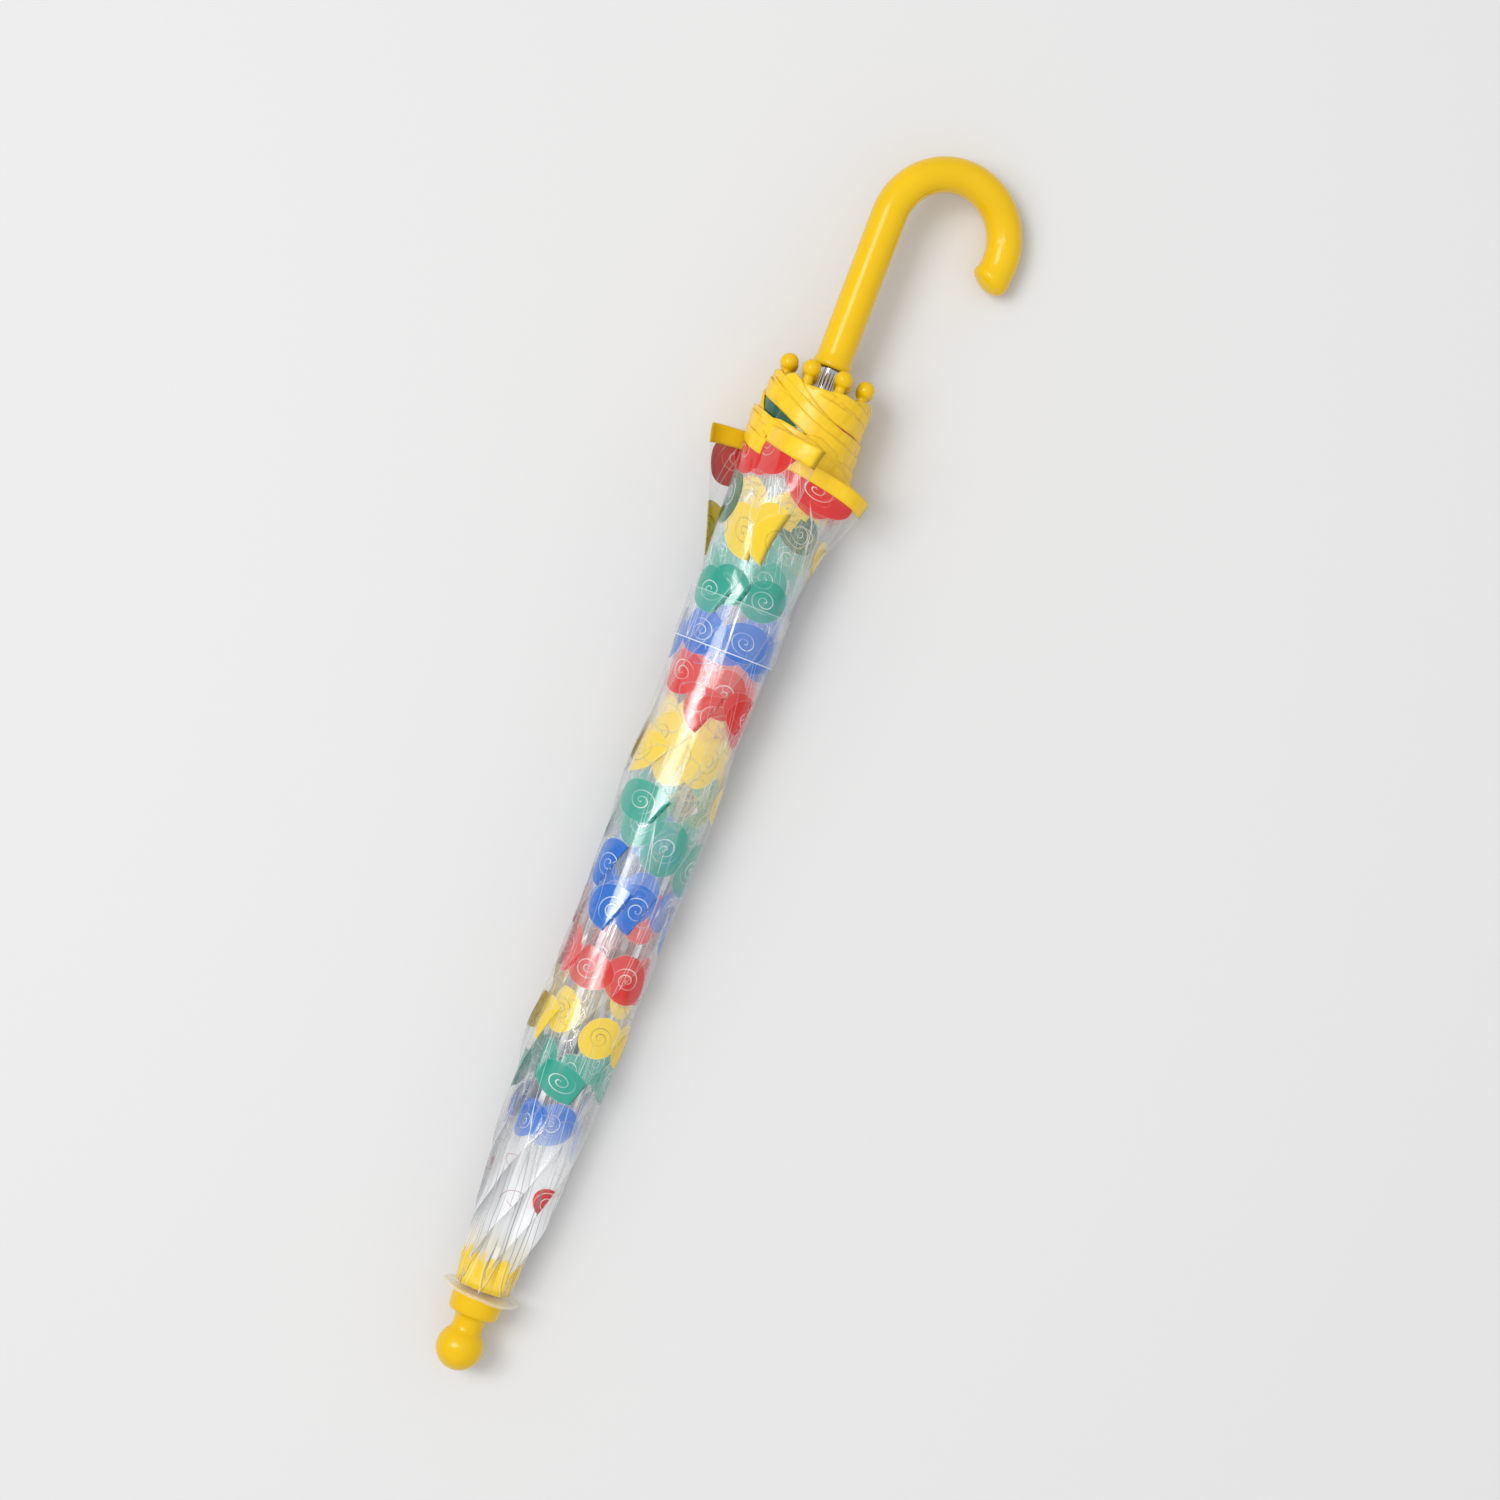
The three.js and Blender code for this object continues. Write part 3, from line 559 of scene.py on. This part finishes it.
GRAIN = surface_grain_group()
PRINT = shell_print_group()
CREASES = film_creases_group()
YELLOW, yellow_shader = finish_with_grain(
    "yellow_moulded_plastic", dark=(0.80, 0.485, 0.001), light=(0.86, 0.535, 0.002), rough=(0.17, 0.25),
    scale=260.0, stretch=1.0, strength=0.06, distance=0.0002)
yellow_shader.inputs["Specular IOR Level"].default_value = 0.25
yellow_shader.inputs["Coat Weight"].default_value = 0.15
yellow_shader.inputs["Coat Roughness"].default_value = 0.12
CHROME, _ = finish_with_grain(
    "bright_chrome", dark=(0.46, 0.46, 0.48), light=(0.58, 0.58, 0.60), rough=(0.06, 0.09),
    scale=300.0, stretch=0.05, strength=0.006, distance=0.00005, metallic=1.0)
PLATED, _ = finish_with_grain(
    "zinc_plated_steel", dark=(0.42, 0.43, 0.45), light=(0.56, 0.57, 0.58), rough=(0.26, 0.40),
    scale=700.0, stretch=0.03, strength=0.12, distance=0.0001, metallic=1.0)
MILKY, _ = finish_with_grain(
    "white_moulded_plastic", dark=(0.72, 0.72, 0.68), light=(0.80, 0.80, 0.77), rough=(0.35, 0.5),
    scale=300.0, stretch=1.0, strength=0.08, distance=0.0002)
FILM = film_material("printed_clear_film", True)
STRAP_FILM = film_material("plain_clear_film", False)
HEM = hem_material()


def washer_material():
    material, tree, shader = new_material("soft_clear_vinyl")
    maths = Maths(tree)
    grain = grained(tree, 120.0)
    tone = maths.mix_colour(grain.outputs["Tone"], (0.97, 0.80, 0.52, 1), (0.97, 0.90, 0.76, 1))
    tree.links.new(tone, shader.inputs["Base Color"])
    weight = maths.node("ShaderNodeLayerWeight", Blend=0.4)
    cover = maths("ADD", maths("MULTIPLY", weight.outputs["Facing"], 0.45), 0.30, clamp=True)
    tree.links.new(lighter_in_shadow(tree, maths, cover, 0.3), shader.inputs["Alpha"])
    bump = maths.node("ShaderNodeBump", Strength=0.15, Distance=0.0004, Height=grain.outputs["Height"])
    tree.links.new(bump.outputs[0], shader.inputs["Normal"])
    shader.inputs["Roughness"].default_value = 0.14
    shader.inputs["Coat Weight"].default_value = 1.0
    return material


WASHER = washer_material()


# ---------- Mesh tools ----------

def add_piece(name, points, faces, material, body, replaced=()):
    """A piece from points in the umbrella's frame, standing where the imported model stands."""
    mesh = bpy.data.meshes.new(name)
    mesh.from_pydata([tuple(p) for p in points], [], faces)
    mesh.update()
    mesh.validate()
    mesh.polygons.foreach_set("use_smooth", [True] * len(mesh.polygons))
    piece = bpy.data.objects.new(name, mesh)
    bpy.context.scene.collection.objects.link(piece)
    piece.matrix_world = STAND
    mesh.materials.append(material)
    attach(piece, body)
    if replaced:
        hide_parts(*replaced)
    return piece


def grid_faces(rows, columns):
    faces = []
    for i in range(rows - 1):
        for j in range(columns - 1):
            a = i * columns + j
            faces.append((a, a + 1, a + columns + 1, a + columns))
    return faces


def turned(profile, sides, place=None):
    """A body turned on X from (x, radius) points, which join up when they start off the axis."""
    points, rings = [], []
    for x, radius in profile:
        if radius < 1e-7:
            rings.append([len(points)])
            points.append(Vector((x, 0, 0)))
        else:
            rings.append(list(range(len(points), len(points) + sides)))
            points += [Vector((x, radius * cos(2 * pi * k / sides), radius * sin(2 * pi * k / sides)))
                       for k in range(sides)]
    faces = []
    closed_profile = len(rings[0]) > 1
    pairs = list(zip(rings, rings[1:])) + ([(rings[-1], rings[0])] if closed_profile else [])
    for first, second in pairs:
        for k in range(sides):
            n = (k + 1) % sides
            if len(first) == 1:
                faces.append((first[0], second[k], second[n]))
            elif len(second) == 1:
                faces.append((first[k], second[0], first[n]))
            else:
                faces.append((first[k], second[k], second[n], first[n]))
    if place is not None:
        points = [place @ p for p in points]
    return points, faces


def arc_points(radius, from_angle, to_angle, steps):
    """(x, radius) points on a circle about the axis' origin."""
    angles = [lerp(from_angle, to_angle, k / steps) for k in range(steps + 1)]
    return [(radius * sin(angle), radius * cos(angle)) for angle in angles]


# ---------- Hard pieces ----------

BALL = 11.6 * MM
NECK = 7.6 * MM
BORE = 4.3 * MM


def make_ferrule():
    """The ball on its neck and collar, bored for the shaft."""
    ball_end = acos(NECK / BALL)
    profile = [(-BALL, 0)] + arc_points(BALL, -pi / 2 + 0.06, ball_end - 0.06, 26)
    outside = [(9.4, 7.75), (10.4, 7.6), (13.4, 7.65), (15.2, 8.0), (16.3, 8.8), (16.9, 10.4), (17.3, 11.7),
               (18.1, 12.3), (19.6, 12.55), (23, 12.75), (26.2, 12.95), (27.2, 12.85), (27.8, 12.45),
               (28, 12.0)]
    profile += [(x * MM, radius * MM) for x, radius in outside]
    profile += [(28 * MM, BORE), (11.8 * MM, BORE), (11.7 * MM, 0)]
    points, faces = turned(profile, 72)
    piece = add_piece("ball_ferrule", points, faces, YELLOW, "shaft", ["ferrule"])
    sharpen(piece)


def sharpen(piece, angle=38):
    """Keeps edges sharper than the angle crisp."""
    for edge in mesh_edges_over(piece.data, radians(angle)):
        edge.use_edge_sharp = True


def mesh_edges_over(mesh, limit):
    sides = {}
    for face in mesh.polygons:
        for key in face.edge_keys:
            sides.setdefault(key, []).append(face.normal.copy())
    return [edge for edge in mesh.edges
            if len(sides.get(edge.key, ())) == 2 and sides[edge.key][0].angle(sides[edge.key][1], 0) > limit]


def make_washer():
    """A soft clear disc, slightly dished and waved."""
    radius = 19.75 * MM
    x = 28.3 * MM
    half = 0.72 * MM
    rows, sides = 22, 96
    profile = []
    for k in range(rows):
        profile.append((x + half * 2, lerp(BORE, radius - half, k / (rows - 1))))
    rim = [(x + half + half * cos(a), radius - half + half * sin(a)) for a in (0.5, 1.0, 1.57, 2.1, 2.6)]
    back = [(x, r) for _, r in reversed(profile)]
    points, faces = turned(profile + rim + back, sides)
    for p in points:
        reach = hypot(p.y, p.z) / radius
        turn = atan2(p.z, p.y)
        wave = 0.7 * MM * sin(turn + 2.4) + 0.3 * MM * sin(2 * turn + 0.6) + 0.22 * MM * sin(5 * turn)
        p.x += reach ** 2 * (wave - 0.3 * MM)
    faces = [tuple(reversed(f)) for f in faces]
    add_piece("crown_washer_clear", points, faces, WASHER, "shaft", ["crown_washer"])


def make_shaft():
    """The chromed tube, from inside the ferrule to inside the handle."""
    start, end, radius, wall = 12 * MM, 567 * MM, 4 * MM, 0.6 * MM
    profile = [(start, radius - wall), (start, radius - 0.15 * MM), (start + 0.15 * MM, radius)]
    profile += [(lerp(start, end, k / 40), radius) for k in range(1, 40)]
    profile += [(end, radius), (end, radius - wall)]
    points, faces = turned(profile, 48)
    add_piece("chromed_shaft", points, faces, CHROME, "shaft", ["shaft_tube"])


GRIP = 8.8 * MM                   # radius of the handle's bar
GRIP_START = 507.54 * MM
GRIP_BEND = 587.04 * MM
CROOK = 31 * MM                   # radius of the bend
CROOK_SWEEP = radians(198)


def crook_roll(points):
    """The handle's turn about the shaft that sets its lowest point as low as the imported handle's."""
    rest_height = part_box("handle")[0].z
    least, most = 0.0, pi / 2
    for _ in range(20):
        middle = (least + most) / 2
        turned_down = STAND @ Matrix.Rotation(middle, 4, "X")
        if min((turned_down @ p).z for p in points) > rest_height:
            least = middle
        else:
            most = middle
    return least


def crook_point(length):
    """The middle of the handle's bar and its heading, at this length from the mouth."""
    straight = GRIP_BEND - GRIP_START
    if length <= straight:
        return Vector((GRIP_START + length, 0, 0)), Vector((1, 0, 0))
    angle = (length - straight) / CROOK
    place = Vector((GRIP_BEND + CROOK * sin(angle), -CROOK * (1 - cos(angle)), 0))
    return place, Vector((cos(angle), -sin(angle), 0))


def make_handle():
    """One swept solid with a ringed mouth, a socket for the shaft and a rounded bead at its end."""
    total = GRIP_BEND - GRIP_START + CROOK * CROOK_SWEEP
    sides = 56
    stations = [(0.0, 6.6), (0.0, 8.9), (0.5, 9.35), (1.4, 9.5), (3.0, 9.45), (3.8, 9.1), (4.4, 8.8)]
    stations = [(length * MM, radius * MM) for length, radius in stations]
    steps = 84
    stations += [(lerp(8 * MM, total - 6 * MM, k / steps), GRIP) for k in range(steps + 1)]
    bead = 9.5 * MM
    end = 5.4 * MM
    stations += [(total - 3.6 * MM, 8.95 * MM), (total - 2.2 * MM, 9.3 * MM), (total - 0.9 * MM, bead)]
    stations += [(total + end * sin(a), bead * cos(a)) for a in (0.18, 0.4, 0.65, 0.9, 1.15, 1.38)]
    socket = [(59.8, 0), (59.8, 4.3), (3.2, 4.3), (3.0, 6.6)]
    points, rings = [], []

    def ring(place, heading, radius):
        side = Vector((0, 0, 1)).cross(heading)
        start = len(points)
        if radius < 1e-7:
            points.append(place)
            return [start]
        for k in range(sides):
            turn = 2 * pi * k / sides
            points.append(place + (side * cos(turn) + Vector((0, 0, 1)) * sin(turn)) * radius)
        return list(range(start, start + sides))

    for length, radius in socket:
        rings.append(ring(Vector((GRIP_START + length * MM, 0, 0)), Vector((1, 0, 0)), radius * MM))
    for length, radius in stations:
        rings.append(ring(*crook_point(length), radius))
    tip, heading = crook_point(total + end)
    rings.append(ring(tip, heading, 0))
    faces = []
    for first, second in zip(rings, rings[1:]):
        for k in range(sides):
            n = (k + 1) % sides
            if len(first) == 1:
                faces.append((first[0], second[n], second[k]))
            elif len(second) == 1:
                faces.append((first[k], first[n], second[0]))
            else:
                faces.append((first[k], first[n], second[n], second[k]))
    roll = Matrix.Rotation(crook_roll(points), 4, "X")
    points = [roll @ p for p in points]
    piece = add_piece("crook_handle", points, faces, YELLOW, "shaft", ["handle"])
    sharpen(piece, 50)


def make_tip(i):
    """A yellow ball on a short socket, over the rib's end."""
    turn = FIRST_RIB + i * RIB_STEP
    ball, stem = 4.5 * MM, 2.5 * MM
    joint = acos(stem / ball)
    profile = [(-12 * MM, 1.3 * MM), (-12 * MM, 2.2 * MM), (-11.7 * MM, 2.45 * MM), (-9 * MM, stem),
               (-7.6 * MM, 2.75 * MM), (-6.6 * MM, 2.75 * MM), (-6.0 * MM, stem), (-4.4 * MM, 2.4 * MM)]
    profile += arc_points(ball, -joint + 0.04, pi / 2 - 0.12, 16) + [(ball, 0)]
    profile = [(-3.7 * MM, 0), (-3.7 * MM, 1.3 * MM)] + profile
    pivot = Vector((PIVOT_X, PIVOT_RADIUS * cos(turn), PIVOT_RADIUS * sin(turn)))
    heading = Vector((cos(CLOSED), sin(CLOSED) * cos(turn), sin(CLOSED) * sin(turn)))
    aim = heading.to_track_quat("X", "Z").to_matrix()
    place = Matrix.Translation(pivot + heading * RIB_LENGTH) @ aim.to_4x4()
    points, faces = turned(profile, 28, place)
    piece = add_piece(f"ball_tip_{i + 1}", points, faces, YELLOW, f"rib_{i + 1}", [f"rib_tip_{i + 1}"])
    sharpen(piece)


# ---------- Rolled canopy ----------

GORE_LENGTH = RIB_LENGTH * cos(APEX)
HEM_WIDTH = 8 * MM
OVER_RIB = 2.7 * MM               # film over the rib's own line, rolled
OVER_OPENED_RIB = 3.6 * MM
OPENED_SAG = 9 * MM
# The crown: its start and end along the shaft, its hole, its rims, and its depth on the cut.
CROWN_X = 30.3 * MM
CROWN_END = 30.9 * MM
CROWN_HOLE = 4.6 * MM
ROLLED_RIM = 13.0 * MM
OPENED_RIM = 11.0 * MM
CROWN_DEPTH = 9 * MM
# Radius of the rolled canopy along the shaft. Past the strap it is the roll inside the loose skirt.
ROLL = [(33, 14.0), (46, 15.6), (70, 18.6), (105, 21.8), (160, 24.2), (220, 22.9), (290, 24.8), (320, 23.3),
        (358, 24.4), (388, 24.4), (420, 26.5), (447, 28.5), (470, 30.5), (500, 33)]
# Each pleat's free corner: its turn away from the even spacing, its stand-off, and how far it slips down.
PLEATS = [(22, 16.5, 15.0), (66, 1.0, 23.0), (34, 17.0, 20.0), (51, 13.5, 4.0),
          (43, 8.0, 6.0), (33, 3.0, 4.0), (31, 3.0, 3.0), (25, 8.0, 8.0)]
INNER_HALF_GAP = 0.3 * MM         # between the two halves of a pleat, once they lie together
SLIPPED = {6: -10, 5: -4}         # how far these pleats' hems have slipped towards the ferrule
TABLE_GAP = 1.2 * MM


def table_depth(x):
    """From the shaft down to the table, at x."""
    return (STAND @ Vector((x, 0, 0))).z / upward.z


def rib_line(x):
    """Radius of the film that lies on the closed ribs, at x."""
    return PIVOT_RADIUS + (x - PIVOT_X) * tan(CLOSED) + OVER_RIB


def roll_radius(x):
    return on_curve(ROLL, x / MM) * MM


def wrap_angle(m):
    """How far a pleat's fold is wrapped round the shaft, at m down the gore."""
    x = PIVOT_X + m * cos(APEX)
    inner, outer = rib_line(x), roll_radius(x)
    width = m * sin(APEX)
    return sqrt(max(width ** 2 - (outer - inner) ** 2, 0)) / ((inner + outer) / 2)


def crown_place(gore, m, v, rim):
    """A point inside the rib pivots, where m is below 0: x, radius, azimuth."""
    share = 1 + m / CROWN_DEPTH
    azimuth = FIRST_RIB + (gore + 0.5 + v / 2) * RIB_STEP
    return lerp(CROWN_X, CROWN_END, share), lerp(CROWN_HOLE, rim, share), azimuth


def rolled(gore, m, v):
    """A gore's point when rolled: x, radius, azimuth. m is down its middle, v across from -1 to 1."""
    if m < 0:
        return crown_place(gore, m, v, ROLLED_RIM)
    base = FIRST_RIB + gore * RIB_STEP
    outer_half = v < 0
    t = 1 - abs(v)
    corner_turn, stand_off, slip = PLEATS[gore]
    down = m / GORE_LENGTH
    # t is 0 on the ribs and 1 on the fold, down is 0 at the crown and 1 at the hem
    x = PIVOT_X - 6.8 * MM * (1 - smooth(0, 17 * MM, m))
    x += m * cos(APEX) + (1 - t) * m * sin(APEX) * tan(APEX)
    wrap = wrap_angle(m) + radians(corner_turn) * smooth(0.15, 1, down)
    wave = smooth(0.05, 0.3, down) * (1 - smooth(0.7, 0.85, down))
    wrap += 0.16 * sin(down * 9 + gore * 2.1) * wave
    half = RIB_STEP / 2
    azimuth = base + t * (half + wrap)
    if not outer_half:
        joined = smooth(0, 0.4, t) * smooth(0.25, 0.6, down)
        azimuth = lerp(base + RIB_STEP + t * (wrap - half), azimuth, joined)
    inner, outer = rib_line(x), roll_radius(x)
    inner = max(inner, lerp(13.4 * MM, inner, smooth(0, 14 * MM, m)))
    outer *= 1 + 0.035 * sin(gore * 2.4 + down * 7) * (1 - smooth(0.78, 0.88, down))
    radius = lerp(inner, outer, t)
    if not outer_half:
        radius -= INNER_HALF_GAP * joined * smooth(0, 0.05, 1 - t)
    # fine puckers along the film
    width = t * m * sin(APEX) / MM
    pucker = 0.12 * sin(width * 0.75 + 1.7 * gore + 2.2 * sin(down * 11 + gore))
    pucker += 0.22 * sin(width * 0.31 + gore * 4)
    radius += pucker * MM * smooth(0.03, 0.15, down) * smooth(0, 0.15, t) * smooth(0, 0.1, 1 - t)
    # the loose skirt past the strap
    skirt = smooth(395, 452, x / MM)
    reach = (0.95 if outer_half else 0.55) / max(wrap, 0.5)
    corner = smooth(1 - reach, 1, t) * skirt
    radius += stand_off * MM * corner
    x += slip * MM * smooth(0.35, 0.97, t) * skirt
    # the hem itself wanders, stops short of the ball tips, and gapes where one pleat has slipped
    hem = smooth(0.82, 0.98, down)
    off_rib = smooth(0, 0.12, t)
    x += hem * MM * (1.8 * sin(t * wrap * 2.1 + gore * 2.4) * off_rib - 8 * (1 - smooth(0, 0.14, t)))
    radius += hem * 0.5 * MM * sin(t * wrap * 3.7 + gore * 1.3) * off_rib
    if gore in SLIPPED:
        gape = smooth(0.29, 0.38, t) * (1 - smooth(0.46, 0.56, t))
        x += SLIPPED[gore] * MM * gape * smooth(0.6, 0.9, down)
    # flattened where it lies on the table
    if sin(azimuth) < 0:
        limit = (table_depth(x) - TABLE_GAP) / -sin(azimuth)
        highest = outer + stand_off * MM * skirt * 0.8 + 0.6 * MM
        if highest > limit:
            squeeze = (limit - inner) / (highest - inner)
            radius = inner + (radius - inner) * squeeze
    return x, radius, azimuth


def opened(gore, m, v):
    """The same point with the frame open: x, radius, azimuth."""
    if m < 0:
        return crown_place(gore, m, v, OPENED_RIM)
    middle = FIRST_RIB + (gore + 0.5) * RIB_STEP
    length = m / cos(APEX)
    radius = PIVOT_RADIUS + length * sin(OPEN)
    x = PIVOT_X + length * cos(OPEN)
    x -= OVER_OPENED_RIB * sin(OPEN)
    radius += OVER_OPENED_RIB * cos(OPEN)
    flat_y = radius * cos(RIB_STEP / 2)
    flat_z = v * radius * sin(RIB_STEP / 2)
    sag = OPENED_SAG * cos(v * pi / 2) * smooth(0, 0.7, m / GORE_LENGTH)
    flat_y -= sag * cos(OPEN)
    x += sag * sin(OPEN)
    return x, hypot(flat_y, flat_z), middle + atan2(flat_z, flat_y)


def opening_group():
    """Moves a rolled piece with the runner to its opened place, turning out as a rib does."""
    group = bpy.data.node_groups.new("canopy_opening", "GeometryNodeTree")
    group.interface.new_socket("Geometry", in_out="INPUT", socket_type="NodeSocketGeometry")
    group.interface.new_socket("Geometry", in_out="OUTPUT", socket_type="NodeSocketGeometry")
    maths = Maths(group)
    given = group.nodes.new("NodeGroupInput")
    out = group.nodes.new("NodeGroupOutput")
    runner = group.nodes.new("GeometryNodeObjectInfo")
    runner.transform_space = "RELATIVE"
    runner.inputs["Object"].default_value = frame["bodies"]["runner"]
    runner_x = maths.parts(runner.outputs["Location"])[0]
    start = (STAND.inverted() @ Vector((0, 0, 0))).x
    share = maths("DIVIDE", maths("SUBTRACT", start, runner_x), TRAVEL, clamp=True)
    angle = maths("ADD", maths("MULTIPLY", share, OPEN - CLOSED), CLOSED)
    outward = maths("DIVIDE", maths("SUBTRACT", maths("SINE", angle), sin(CLOSED)), sin(OPEN) - sin(CLOSED))
    back = maths("DIVIDE", maths("SUBTRACT", cos(CLOSED), maths("COSINE", angle)), cos(CLOSED) - cos(OPEN))

    def stored(name):
        node = group.nodes.new("GeometryNodeInputNamedAttribute")
        node.data_type = "FLOAT"
        node.inputs["Name"].default_value = name
        return node.outputs["Attribute"]

    def between(first, second, amount):
        return maths("ADD", first, maths("MULTIPLY", maths("SUBTRACT", second, first), amount))

    here = maths.parts(group.nodes.new("GeometryNodeInputPosition").outputs[0])
    x = between(here[0], stored("open_x"), back)
    radius = between(stored("roll_radius"), stored("open_radius"), outward)
    turn = between(stored("roll_turn"), stored("open_turn"), share)
    moved = maths.node("ShaderNodeCombineXYZ", X=x, Y=maths("MULTIPLY", radius, maths("COSINE", turn)),
                       Z=maths("MULTIPLY", radius, maths("SINE", turn)))
    setter = group.nodes.new("GeometryNodeSetPosition")
    group.links.new(given.outputs[0], setter.inputs["Geometry"])
    group.links.new(moved.outputs[0], setter.inputs["Position"])
    group.links.new(setter.outputs[0], out.inputs[0])
    return group


OPENING = opening_group()


def store_cut(piece, cuts):
    """Keeps each point's place on the flat film, in millimetres, for the print and the creases."""
    cut = piece.data.attributes.new("cut", "FLOAT_VECTOR", "POINT")
    cut.data.foreach_set("vector", [value for triple in cuts for value in triple])


def add_unfolding(name, gore, rows, columns, material, replaced=()):
    """A sheet that is rolled at rest and opens with the runner. rows are m, columns are v."""
    points, closed, spread, cuts = [], [], [], []
    for m in rows:
        for v in columns:
            x, radius, turn = rolled(gore, m, v)
            points.append(Vector((x, radius * cos(turn), radius * sin(turn))))
            closed.append((radius, turn))
            spread.append(opened(gore, m, v))
            half = max(m, 0) * tan(APEX) + PIVOT_RADIUS * sin(RIB_STEP / 2)
            cuts.append((m / MM, v * half / MM, float(gore)))
    piece = add_piece(name, points, grid_faces(len(rows), len(columns)), material, "shaft", replaced)
    mesh = piece.data
    for label, values in (
        ("roll_radius", [c[0] for c in closed]), ("roll_turn", [c[1] for c in closed]),
        ("open_x", [s[0] for s in spread]), ("open_radius", [s[1] for s in spread]),
        ("open_turn", [s[2] for s in spread]),
    ):
        mesh.attributes.new(label, "FLOAT", "POINT").data.foreach_set("value", values)
    store_cut(piece, cuts)
    modifier = piece.modifiers.new("canopy_opening", "NODES")
    modifier.node_group = OPENING
    return piece


def across_values(half_count):
    """v values, closer together near the fold and the ribs."""
    half = [1 - cos(pi / 2 * k / half_count) for k in range(half_count + 1)]
    right = [lerp(k / half_count, half[k], 0.35) for k in range(half_count + 1)]
    return [-v for v in reversed(right)][:-1] + right


def make_gore(i):
    """One gore of printed film and the hem tape along its edge."""
    rows = [-CROWN_DEPTH * (1 - k / 4) for k in range(4)]
    rows += [GORE_LENGTH * k / 110 for k in range(111)]
    film = add_unfolding(f"film_gore_{i + 1}", i, rows, across_values(44), FILM,
                         [f"canopy_panel_{i + 1}"])
    hem_rows = [GORE_LENGTH - HEM_WIDTH * (1 - k / 7) + 0.4 * MM for k in range(8)]
    hem = add_unfolding(f"hem_tape_{i + 1}", i, hem_rows, across_values(56), HEM)
    thick = hem.modifiers.new("tape_thickness", "SOLIDIFY")
    thick.thickness = 0.7 * MM
    thick.offset = 0


# ---------- Closure strap ----------

STRAP_START = 361.175 * MM
STRAP_ROUND = 25                  # millimetres of strap to a radian round the roll


def make_strap():
    """A clear band round the roll. It moves with its rib when the frame opens."""
    rows, sides = 9, 120
    points = []
    thick = 0.45 * MM
    for layer in (0, 1):
        for k in range(rows):
            x = STRAP_START + STRAP_WIDTH * k / (rows - 1)
            for j in range(sides):
                turn = 2 * pi * j / sides
                radius = (25.3 + 0.25 * sin(3 * turn + 1) + 0.12 * sin(8 * turn)) * MM + layer * thick
                if sin(turn) < 0:
                    limit = (table_depth(x) - (0.55 - 0.45 * layer) * MM) / -sin(turn)
                    radius = min(radius, limit)
                points.append(Vector((x, radius * cos(turn), radius * sin(turn))))
    faces = []
    for k in range(rows - 1):
        for j in range(sides):
            n = (j + 1) % sides
            a, b, c, d = k * sides + j, k * sides + n, (k + 1) * sides + n, (k + 1) * sides + j
            shift = rows * sides
            faces.append((a, d, c, b))
            faces.append((a + shift, b + shift, c + shift, d + shift))
    for k, flip in ((0, False), (rows - 1, True)):
        for j in range(sides):
            n = (j + 1) % sides
            quad = (k * sides + j, k * sides + n, (k + rows) * sides + n, (k + rows) * sides + j)
            faces.append(tuple(reversed(quad)) if flip else quad)
    piece = add_piece("clear_tie_strap", points, faces, STRAP_FILM, "rib_1", ["tie_strap"])
    store_cut(piece, [((p.x - STRAP_START) / MM, atan2(p.z, p.y) * STRAP_ROUND, 3.0) for p in points])
    sharpen(piece, 60)
    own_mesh(piece)


def make_strap_tab():
    """The strap's free end, with rounded corners."""
    inner, thick = 27.0 * MM, 0.7 * MM
    first, last = radians(-18), radians(-56)
    middle = STRAP_START + STRAP_WIDTH / 2
    half = 10 * MM
    rows, columns = 21, 12
    points = []
    for layer in (0, 1):
        for k in range(rows):
            share = k / (rows - 1)
            turn = lerp(first, last, share)
            left = (1 - share) * abs(last - first) * inner
            narrow = half * (1 - sqrt(max(0.0, 1 - (1 - left / half) ** 2))) if left < half else 0
            for j in range(columns):
                x = middle + lerp(-half + narrow * 0.96, half - narrow * 0.96, j / (columns - 1))
                radius = inner + layer * thick
                points.append(Vector((x, radius * cos(turn), radius * sin(turn))))
    one_side = grid_faces(rows, columns)
    shift = rows * columns
    faces = [tuple(reversed(f)) for f in one_side] + [tuple(v + shift for v in f) for f in one_side]
    rim = list(range(columns)) + [k * columns + columns - 1 for k in range(1, rows)]
    rim += [(rows - 1) * columns + j for j in range(columns - 2, -1, -1)]
    rim += [k * columns for k in range(rows - 2, 0, -1)]
    for a, b in zip(rim, rim[1:] + rim[:1]):
        faces.append((a, b, b + shift, a + shift))
    piece = add_piece("clear_strap_tab", points, faces, STRAP_FILM, "strap_tab", ["strap_tab"])
    store_cut(piece, [((p.x - STRAP_START) / MM, atan2(p.z, p.y) * STRAP_ROUND, 5.0) for p in points])
    sharpen(piece, 60)


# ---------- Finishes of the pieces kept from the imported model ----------

KEPT = [
    (PLATED, [f"{kind}_{i + 1}" for kind in ("rib", "stretcher", "rib_rivet") for i in range(RIBS)]),
    (CHROME, ["top_notch_wire", "runner_wire", "notch_pin", "stop_pin", "top_catch", "bottom_catch"]),
    (MILKY, ["runner", "top_notch", "snap_stud", "snap_cap"]),
]


def finish_kept_pieces():
    for material, names in KEPT:
        for name in names:
            piece = frame["nodes"][name]
            piece.data.materials.clear()
            piece.data.materials.append(material)


add_camera()
add_studio()
make_ferrule()
make_washer()
make_shaft()
make_handle()
for rib in range(RIBS):
    make_tip(rib)
    make_gore(rib)
make_strap()
make_strap_tab()
finish_kept_pieces()
